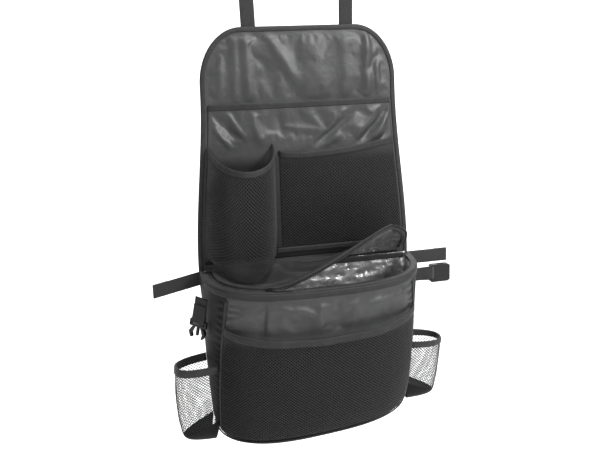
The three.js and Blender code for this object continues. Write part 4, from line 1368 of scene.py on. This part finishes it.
round_shares = even(lambda share: on_box(share, 0.5), 3.2)
box_downs = steps(90)
cooler = vessel(
    "cooler_wall",
    loops(lambda share, down: on_box(share, down, -box_swell(share, down)), round_shares, box_downs),
    loops(lambda share, down: on_box(share, down, WALL), round_shares, steps(12)),
    nylon,
    ["cooler_box"],
)


def wall_free(share, down):
    """The front band between the rim's tape and the net's mouth is loose."""
    point = on_box(share, down)
    inside = min(share - seam_share(down), 1 - seam_share(down) - share) * ROUND
    foot = 505 + 30 * max(0.0, 1 - (point.x / 150) ** 2)
    return ease(inside, 8, 24) * ease(down, 0.05, 0.1) * (1 - ease(-point.z, foot - 16, foot))


def wall_matt_and_shade(place):
    """The sides beyond the corner seams are duller and darker, and so is the front behind the net; the
    darker colour is painted shade.
    """
    down = clamp01(down_at(-place.z - 16))
    left, right = (on_box(share, down).x for share in (seam_share(down), 1 - seam_share(down)))
    front = ease(place.x, left - 2, left + 2) * (1 - ease(place.x, right - 2, right + 2))
    return max(0.85 * (1 - front), ease(-place.z, 522, 552))


back_shares = [0] * (BACK_STEPS - 1)
wall_rings = [[wall_free(share, down) for share in round_shares] + back_shares for down in box_downs]
wall_rings += [[0] * len(wall_rings[0]) for _ in FLOOR_SHARES]
wall_shares = [share for ring in wall_rings[::-1] for share in ring]
relax(cooler, wall_shares, grow=0.012, stiff=14, cap=3.5, inward=1.5)
# Painted shade: a darker colour on the cooler's sides and on its front behind the net.
matt_and_shade_where(cooler, wall_matt_and_shade)

# %% [markdown]
# The liner is the same box once more, inside the wall. Its inner skin is pushed in along
# creases, where the noise has its peaks and valleys, and its raw edge under the hinge is
# covered by tape.

# %% The foil liner


def crinkled(share, down):
    point = on_box(share, down)
    crease = abs(wrinkle(point, 26, 13)) + 0.5 * abs(wrinkle(point, 11, 14))
    held = ease(down, 0.045, 0.09)
    return on_box(share, down, LINER_INNER + 3.4 * held * crease)


liner = vessel(
    "liner",
    loops(lambda share, down: on_box(share, down, LINER_OUTER), round_shares, steps(12)),
    loops(crinkled, round_shares, box_downs),
    foil,
    ["foil_liner"],
)
taped_where(liner, lambda place: place.z > -RIM - 1.5 and place.y > BOX_BACK - 8)

# %% [markdown]
# The rim is bound like the panel, the corner seams are covered by narrow domed tapes, and
# a piping runs round the foot. All are short outlines swept along the box's face, so they
# stay on it wherever it swells or leans.

# %% Rim binding, corner seams and base piping
TRIM_FROM, TRIM_TO = 0.012, 0.988  # binding and piping stop short of the panel
PIPING_DOWN = 0.9785
HINGE_HALF, HINGE_WIDTH = 193, 10.5  # the tape over the liner's raw edge
rim_length = BASE - RIM


def rim_surface(share, v, layer):
    return on_box(lerp(TRIM_FROM, TRIM_TO, share), v, -layer)


rim_outline = folded(9, -LINER_INNER - SEWN, SEWN, BIND, 0.3, 1.5)
rim_columns = steps(230)
hem("rim_tape", rim_surface, rim_columns, rim_length, rim_outline, tape, ["rim_binding"], 0.4)
rim_layers = (1.75, -LINER_INNER - 1.8)
rim_seams = [[rim_surface(u, 7.4 / rim_length, layer) for u in rim_columns] for layer in rim_layers]
stitched("rim_stitches", rim_seams)


def hinge_tape_point(u, v, layer):
    x = lerp(-HINGE_HALF, HINGE_HALF, u)
    return Vector((x, BOX_BACK - LINER_INNER - SEWN - layer, -RIM - 0.8 - HINGE_WIDTH * v))


cloth("hinge_tape", hinge_tape_point, steps(60), steps(5), tape, front=0.6)

dome = [(2.6 * math.cos(t), OVER + 0.3 + 1.6 * math.sin(t)) for t in steps(8, 0, math.pi)]
for side, name in ((0, "left"), (1, "right")):
    rings = []
    for down in steps(90, 0.056, 0.948):
        centre = seam_share(down) if side == 0 else 1 - seam_share(down)
        rings.append([on_box(centre + a / ROUND, down, -b) for a, b in dome])
    tube(f"corner_tape_{name}", rings, tape, [f"corner_seam_{name}"])

cord_turns = steps(10, 0, 2 * math.pi)[:-1]
cord = [(1.7 * math.sin(turn), 2.3 + 1.6 * math.cos(turn)) for turn in cord_turns]
piping_rings = []
for share in steps(230, TRIM_FROM, TRIM_TO):
    piping_rings.append([on_box(share, PIPING_DOWN + a / rim_length, -b) for a, b in cord])
tube("foot_piping", piping_rings, tape, ["base_piping"])

# %% [markdown]
# ## The lid
# A padded D with a foil underside closes the cooler. It is laid out flat in the plane of
# the rim and then lifted: shut on the left, and raised on the right, where the zip is
# open. A bend modifier could lift it, but its binding and its half of the zip have to
# follow, so one function lifts any point of them all.

# %% The lid's shape
LID_THICKNESS, LID_INSET, ZIP_INSET, LID_BINDING = 3.0, 20, 14, 7
LINING_TOP = -LID_THICKNESS - SEWN
LINING_FOOT = LINING_TOP - 0.8
HINGE_Y, HINGE_Z = BOX_BACK, -RIM - LINING_FOOT + SEWN
SHUT_BEFORE, OPEN_BY, OPEN_ANGLE = -84, 140, math.radians(39)
LID_SAG, LID_SAG_X = 17, -115
FLAT_EDGE = LID_BINDING + 2.5


def lid_angle(x):
    """How far the lid is lifted at its hinge: not at all where the zip is shut."""
    share = clamp01((x - SHUT_BEFORE) / (OPEN_BY - SHUT_BEFORE))
    return lerp(-RIM_TILT, OPEN_ANGLE, share**1.2)


def lid_edge(u, inset):
    cosine = math.cos(math.pi * u)
    bulge = max(0.0, 1 - abs(cosine) ** TOP_BOX[2]) ** (1 / TOP_BOX[2])
    x = -cosine * (TOP_BOX[0] - inset)
    return Vector((x, BOX_BACK - inset - bulge * (TOP_BOX[1] - 2 * inset), 0))


def lid_reach(x):
    rest = max(0.0, 1 - (abs(x) / (TOP_BOX[0] - LID_INSET)) ** TOP_BOX[2])
    return LID_INSET + (TOP_BOX[1] - 2 * LID_INSET) * rest ** (1 / TOP_BOX[2])


def lid_middle(x):
    """1 over the middle of the lid, falling to 0 at its ends, where it gets narrow."""
    return ease(lid_reach(x) - LID_INSET, 20, 60)


def lid_sag(x, reach):
    along = clamp01((reach - FLAT_EDGE) / (lid_reach(x) - 2 * FLAT_EDGE))
    around = bell(x, LID_SAG_X, 62) * (1 - ease(abs(x), 150, 171))
    return LID_SAG * around * math.sin(math.pi * along) ** 1.3


LID_FOLDS = [
    # x and reach from the hinge at both ends, height and width
    (-60, 20, -10, 110, -3.0, 9),
    (-30, 18, 40, 100, 2.2, 10),
    (40, 16, 70, 90, -1.8, 8),
    (110, 14, 120, 80, 1.6, 9),
    (-150, 30, -70, 112, 2.0, 9),
]


def turned(point, angle, sag):
    """A point of the flat lid, turned up by the angle about the hinge after it sags."""
    reach = (HINGE_Y - point.y) / math.cos(RIM_TILT)
    height = point.z - sag
    cosine, sine = math.cos(angle), math.sin(angle)
    y = HINGE_Y - reach * cosine + height * sine
    return Vector((point.x, y, HINGE_Z + reach * sine + height * cosine))


def lifted(point):
    return turned(point, lid_angle(point.x), lid_sag(point.x, HINGE_Y - point.y))


def shut(point):
    return turned(point, -RIM_TILT, 0.0)


def lid_point(u, v, layer):
    edge = lid_edge(u, LID_INSET)
    length = HINGE_Y - edge.y
    reach = v * length
    soft = ease(min(reach, length - reach), 6, 22) * lid_middle(edge.x)
    folds = ridges(edge.x, reach, LID_FOLDS) + 0.9 * wrinkle((edge.x, reach, 0), 30, 15)
    return lifted(Vector((edge.x, HINGE_Y - reach, layer + soft * folds)))


lid_shares, lid_rows = even(lambda u: lid_edge(u, LID_INSET), 3.4), steps(48)
lid = cloth("lid_cloth", lid_point, lid_shares, lid_rows, nylon, ["lid"], -LID_THICKNESS, 0.0)


def lid_free(u, v):
    edge = lid_edge(u, LID_INSET)
    inside = min(v, 1 - v) * (HINGE_Y - edge.y)
    return ease(inside, 9, 22) * lid_middle(edge.x) * ease(edge.x, -80, -40)


free_shares = [lid_free(u, v) for v in lid_rows for u in lid_shares]
relax(lid, free_shares, grow=0.014, stiff=10, cap=2.5, inward=0.8)
# The lid's cloth is made a little duller and darker all over.
matt_and_shade_where(lid, lambda place: 0.35)
lid_foil = cloth(
    "lid_foil", lid_point, lid_shares, lid_rows, foil, ["lid_lining"], LINING_FOOT, LINING_TOP
)
cut(lid_foil, lid_point, layer=LINING_TOP)
taped_where(lid_foil, lambda place: math.hypot(place.y - HINGE_Y, place.z - HINGE_Z) < 9)

# %% [markdown]
# The zip has two tapes, one on the rim and one on the lid, each with a row of teeth along
# its edge. Both are laid out along the same flat edge: the rim's stays shut, and the lid's
# is lifted with the lid, so that they meet on the left and part on the right.

# %% The lid's binding and its zip


def lid_frames(inset):
    """Points along the lid's flat edge, each with the way in from it."""
    path = [lid_edge(u, inset) for u in lid_shares]
    return [(origin, Vector((along.y, -along.x, 0))) for origin, along in zip(path, headings(path))]


def swept(frames, outline, place):
    """The outline at every point of the edge, put in its place by a function."""
    rings = []
    for origin, side in frames:
        rings.append([place(origin + side * a + Vector((0, 0, b))) for a, b in outline])
    return rings


frames = lid_frames(LID_INSET)
lid_wrap = folded(LID_BINDING, LINING_FOOT - OVER, OVER + 0.5, BIND, 0.3, 1.2)
tube("lid_tape", swept(frames, lid_wrap, lifted), tape, ["lid_binding"])
stitched("lid_stitches", [[ring[0] for ring in swept(frames, [(-5.4, OVER + 2.1)], lifted)]])

ZIP_LAYER, ZIP_FROM = -2.2, LID_INSET - ZIP_INSET


def zip_tape(sign, end):
    bead = [(0.2, -0.5), (1.6, -0.5)]
    under = [(ZIP_FROM + sign * a, ZIP_LAYER + b) for a, b in bead] + [(end, ZIP_LAYER - 0.4)]
    over = [(end, ZIP_LAYER + 0.4)] + [(ZIP_FROM + sign * a, ZIP_LAYER - b) for a, b in bead[::-1]]
    return under + over


for name, sign, end, place, node in (
    ("rim_zip", 1, LID_INSET - 1, shut, "rim_zip_tape"),
    ("lid_zip", -1, SEWN + BIND + SEWN, lifted, "lid_zip_tape"),
):
    tube(name, swept(frames[1:-1], zip_tape(sign, end), place), tape, [node])
    row = [ring[0] for ring in swept(frames[2:-2], [(ZIP_FROM + sign * 0.9, ZIP_LAYER)], place)]
    grown(f"{name}_teeth", *line_edges([row]), teeth, plastic, Bead_size=(0.0022, 0.0022, 0.0011))

# %% [markdown]
# ## Pockets on the box
# A net pocket runs across the front between the corner seams, and each side has a net
# holder with an elastic ring and a cloth cup. Both are laid out on the box's own face, at
# a distance from it, so that they can't sink into the wall. The net is tucked close to
# the wall along its foot.

# %% Front net pocket
FRONT_LEFT, FRONT_MIDDLE, FRONT_RIGHT, FRONT_FOOT, FRONT_MOUTH = 511, 524, 510, 0.955, 17


def front_net_point(u, v, layer):
    arch = 4 * u * (1 - u)
    hem_drop = lerp(FRONT_LEFT, FRONT_RIGHT, u) + (FRONT_MIDDLE - FRONT_LEFT) * arch
    down = lerp(down_at(hem_drop - 16), FRONT_FOOT, v)
    start = seam_share(down) + 4.2 / ROUND
    slack = FRONT_MOUTH * math.sin(math.pi * clamp01(u)) ** 0.8 * (1 - clamp01(v) ** 1.6)
    soft = 0.9 * wrinkle((u * 400, v * 160, 0), 45, 17) * math.sin(math.pi * clamp01(u))
    corner_room = 2.8 * min(1.0, 12 * u * (1 - u)) * (1 - 0.85 * ease(v, 0.86, 1.0))
    hem_room = OVER + BIND * (1 - ease(v, 0.03, 0.25))
    stand = OVER + hem_room + corner_room + max(0.0, slack + soft)
    return on_box(lerp(start, 1 - start, u), down, -stand - layer)


wide_hem = folded(10, -SEWN, CLOTH + SEWN, 0.6, 0.25, 1.2)
front_length = measured([front_net_point(0.5, v, 0) for v in steps(40)])[-1]
net_pocket(
    "front_net", "tape", front_net_point, ["front_pocket_net", "front_pocket_hem"],
    150, wide_hem, 0.4, front_length, (1.6, 8.4), 1.0,
)

# %% [markdown]
# The side holders are pouches like the bottle net, sewn to the box's face. Their lower
# quarter is a cup of nylon. It could be a piece of its own shape, but it is made on the
# same surface as the net above it, so that the two meet without a gap.

# %% Side net holders
SIDE_MOUTH, SIDE_FOOT, SIDE_OUT, SIDE_HANG, SIDE_REAR = 594, 692, 66, 730, 0.012
CUP_FROM = 0.74


def side_surface(side):
    """The holder's surface, on the left for side -1 and on the right for side 1."""

    def share_on(share):
        return share if side < 0 else 1 - share

    mouth = SIDE_MOUTH - 0.6 * (SLANT if side < 0 else 0)

    def drop_at(v):
        return lerp(mouth, SIDE_FOOT, 1 - (1 - clamp01(v)) ** 2.2)

    def front(v):
        down = down_at(drop_at(v) - 8)
        return on_box(share_on(seam_share(down) - 6.5 / ROUND), down, -OVER - 0.3)

    def rear(v):
        return on_box(share_on(SIDE_REAR), down_at(drop_at(v)), -OVER - 0.3)

    places = [(3, 630), (3, 662), (1, 692), (-10, SIDE_HANG - 8), (-60, SIDE_HANG - 2)]
    profile = [(SIDE_OUT, 8)]
    profile += [(SIDE_OUT + out, drop - drop_at(k / 5)) for k, (out, drop) in enumerate(places, 1)]
    left, right = (rear, front) if side < 0 else (front, rear)
    return pouch(left, right, Vector((side, 0, 0)), spline(profile), 1.25)


ring_outline = folded(10, -SEWN, CLOTH + SEWN, BIND, 0.3, 1.6)
for side, name in ((-1, "left"), (1, "right")):
    surface = side_surface(side)
    length = measured([surface(0.5, v, 0) for v in steps(40)])[-1]
    net_range = (0.0, CUP_FROM + 0.01)
    holder = net(f"holder_net_{name}", surface, [f"side_net_{name}"], net_range)
    ring = hem(
        f"holder_ring_{name}", surface, steps(80), length, ring_outline, tape,
        [f"side_ring_{name}"], 0.5,
    )
    cup_rows = steps(24, CUP_FROM + 0.004)
    cup = cloth(f"holder_cup_{name}", surface, steps(60), cup_rows, nylon, [f"side_base_{name}"])
    matt_and_shade_where(cup, lambda place: 1)
    cut(holder, surface, net_range)
    cut(cup, surface, v_range=(CUP_FROM, 1.0))
    seams = ((8.4 / length, 2.9), (CUP_FROM + 0.02, 1.2))  # share down and layer
    lines = [[surface(u, v, layer) for u in steps(80)] for v, layer in seams]
    stitched(f"holder_stitches_{name}", lines)

# %% [markdown]
# ## Webbing straps and the buckle
# Each strap is a flat band, folded over and stitched at its end. A curve with a bevel
# can twist where it turns. Here the direction across the band is given, and only its
# thickness follows the line, so that it folds as webbing does.

# %% Straps
STRAP_WIDTH, STRAP_THICKNESS, STRAP_FOLD = 26, 1.6, 28
STITCH_RISE = STRAP_THICKNESS / 2 + 0.15  # of the stitches, from the strap's middle
STRAP_Y = SEWN + BIND + SEWN + STRAP_THICKNESS / 2
FOLD_Y = STRAP_Y + STRAP_THICKNESS + SEWN


def rounded(points, radius, spacing=5.0):
    """A line through the points with round corners, in short steps."""
    line = [points[0]]
    for before, corner, after in zip(points, points[1:], points[2:]):
        trim = min(radius, (before - corner).length * 0.49, (after - corner).length * 0.49)
        start = corner + (before - corner).normalized() * trim
        finish = corner + (after - corner).normalized() * trim
        for t in steps(5):
            line.append(start.lerp(corner, t).lerp(corner.lerp(finish, t), t))
    line.append(points[-1])
    whole = [line[0]]
    for a, b in zip(line, line[1:]):
        count = max(1, math.ceil((b - a).length / spacing))
        whole += [a.lerp(b, k / count) for k in range(1, count + 1)]
    return whole


def strap(name, line, wide, covers):
    """A band along a line; wide is the direction across it."""
    half, deep = STRAP_WIDTH / 2, STRAP_THICKNESS / 2
    flats = [(half - 0.8) * share for share in (-1, -0.6, -0.2, 0.2, 0.6, 1)]
    outline = [(a, -deep) for a in flats] + [(half, -deep * 0.4), (half, deep * 0.4)]
    outline += [(a, deep) for a in flats[::-1]] + [(-half, deep * 0.4), (-half, -deep * 0.4)]
    rings = []
    for origin, along in zip(line, headings(line)):
        thick = along.cross(wide).normalized()
        rings.append([origin + wide * a + thick * b for a, b in outline])
    tube(name, rings, webbing, covers)


HEAD_SPACING, HEAD_RISE, HEAD_SEWN, HEAD_SPLAY = 180, 112, 46, math.radians(1.2)
for side, name in ((-1, "left"), (1, "right")):
    corners = [(STRAP_Y, -HEAD_SEWN), (STRAP_Y, HEAD_RISE)]
    corners += [(FOLD_Y, HEAD_RISE), (FOLD_Y, HEAD_RISE - STRAP_FOLD)]
    turn = Matrix.Rotation(side * HEAD_SPLAY, 3, "Y")
    shift = Vector((side * HEAD_SPACING / 2, 0, 0))
    line = [turn @ Vector((0, y, z)) + shift for y, z in corners]
    across = turn @ Vector((1, 0, 0))
    strap(f"head_strap_{name}", rounded(line, 1.0), across, [f"headrest_strap_{name}"])
    box = [(-10, -8), (10, -8), (10, -40), (-10, -40), (-10, -8), (10, -40), (10, -8), (-10, -40)]
    ends = [(-11, HEAD_RISE - 24), (11, HEAD_RISE - 24)]
    rows = ((box, STRAP_Y + STITCH_RISE), (ends, FOLD_Y + STITCH_RISE), (ends, STRAP_Y - STITCH_RISE))
    lines = [[turn @ Vector((x, y, z)) + shift for x, z in row] for row, y in rows]
    stitched(f"head_strap_stitches_{name}", lines)

WAIST_DROP, WAIST_REACH, WAIST_DROOP, DROOP_FROM = 450, 290, 17, -205


def waist_point(x, y, off=0.0):
    out = max(0.0, DROOP_FROM - x)
    fall = WAIST_DROOP * out / (WAIST_REACH + DROOP_FROM)
    return Vector((x, y, -WAIST_DROP - fall + off))


waist_corners = [
    (-WAIST_REACH + STRAP_FOLD, FOLD_Y),
    (-WAIST_REACH, FOLD_Y),
    (-WAIST_REACH, STRAP_Y),
    (DROOP_FROM, STRAP_Y),
    (WAIST_REACH, STRAP_Y),
    (WAIST_REACH, FOLD_Y),
    (WAIST_REACH - STRAP_FOLD, FOLD_Y),
]
waist_line = rounded([waist_point(x, y) for x, y in waist_corners], 1.0)
strap("waist_band", waist_line, Vector((0, 0, 1)), ["waist_strap"])
waist_lines = []
for x in (-WAIST_REACH + 24, -WAIST_REACH + 5, WAIST_REACH - 24, WAIST_REACH - 5):
    for y in (STRAP_Y - STITCH_RISE, FOLD_Y + STITCH_RISE):
        waist_lines.append([waist_point(x, y, off) for off in (-11, 11)])
stitched("waist_stitches", waist_lines)

# %% [markdown]
# Two short straps hold the buckle's halves. Each runs to its half, goes round the bar there
# and comes back over itself, where it is sewn. One function bends both, because they differ
# only in their direction and their length.

# %% Buckle straps
BUCKLE_START, BUCKLE_DROP, BAR = 254, 487, 4
HANG_SHARE, HANG_DROP, HANG_LENGTH = 0.1, 462, 44
FACING, LEAN = math.radians(38), math.radians(12)


def buckle_strap(name, length, along, wide, thick, origin, covers):
    """A strap that runs along to the buckle's bar at the origin, round it, and back."""
    lift = 2 + SEWN + STRAP_THICKNESS / 2
    turn = BAR + SEWN + STRAP_THICKNESS / 2 + 0.3
    upper = STRAP_THICKNESS + SEWN
    corners = [
        (-length, 0), (-18, 0), (-4, -lift), (turn, -lift),
        (turn, lift), (-4, lift), (-18, upper), (-length + 14, upper),
    ]
    line = rounded([origin + along * a + thick * b for a, b in corners], 2.2, 3.0)
    strap(name, line, wide, covers)
    lines = []
    for b in (-STITCH_RISE, upper + STITCH_RISE):
        for a in (-21, -length + 17):
            lines.append([origin + along * a + thick * b + wide * w for w in (-11, 11)])
    stitched(name + "_stitches", lines)


buckle_strap(
    "socket_strap", BUCKLE_START - 160, Vector((1, 0, 0)), Vector((0, 0, -1)), Vector((0, 1, 0)),
    Vector((BUCKLE_START, STRAP_Y, -BUCKLE_DROP)), ["buckle_strap_right"],
)
outwards = Vector((-math.sin(FACING), -math.cos(FACING), 0))
boxwards = Vector((math.cos(FACING), -math.sin(FACING), 0))
hang_along = Vector((0, 0, -math.cos(LEAN))) - boxwards * math.sin(LEAN)
hang_across = Vector((0, 0, -math.sin(LEAN))) + boxwards * math.cos(LEAN)
sewn_corner = on_box(HANG_SHARE, down_at(HANG_DROP)) - Vector((OVER, 0, 0))
hang_origin = sewn_corner + hang_along * HANG_LENGTH - hang_across * STRAP_WIDTH / 2
buckle_strap(
    "plug_strap", HANG_LENGTH, hang_along, hang_across, outwards, hang_origin, ["buckle_strap_left"]
)

# %% [markdown]
# The buckle's two halves and the zip's slider are hard pieces with plain shapes. The CAD
# model's own solids show them well, so they only get the plastic's finish. The slider's
# pull is a ribbon folded over on itself and sewn, and it lies on the shut zip.

# %% The CAD model's own plastic pieces, and the zip's pull of folded ribbon
for name in ("buckle_socket", "buckle_plug", "zip_slider"):
    cad[name].data.materials.clear()
    cad[name].data.materials.append(plastic)

SLIDER_X = SHUT_BEFORE - 15
slider_u = math.acos(-SLIDER_X / (TOP_BOX[0] - ZIP_INSET)) / math.pi
before, slider_at, after = (lid_edge(slider_u + step, ZIP_INSET) for step in (-0.01, 0, 0.01))
slider_along = (after - before).normalized()
slider_side = Vector((-slider_along.y, slider_along.x, 0))


def on_zip(along, across, height):
    """A place on the shut zip, measured from the slider; the ribbon waves a little."""
    lift = height + 0.35 * math.sin((along - 8) / 7) * ease(along, 8, 20)
    return shut(slider_at + slider_along * along + slider_side * across + Vector((0, 0, lift)))


PULL_FROM, PULL_TO, PULL_LOW, PULL_HIGH = 6.6, 39.0, -7.4, -1.6
pull_outline = folded(PULL_TO - PULL_FROM, -0.25, 0.0, 0.5, 0.1, 1.0)
pull_rings = [
    [on_zip(PULL_TO + a, across, b) for a, b in pull_outline]
    for across in steps(6, PULL_LOW, PULL_HIGH)
]
tube("zip_ribbon", pull_rings, tape, ["zip_pull"])
pull_seams = [[on_zip(along, across, 0.95) for across in (-6.8, -2.2)] for along in (11, 34)]
stitched("zip_ribbon_stitches", pull_seams)
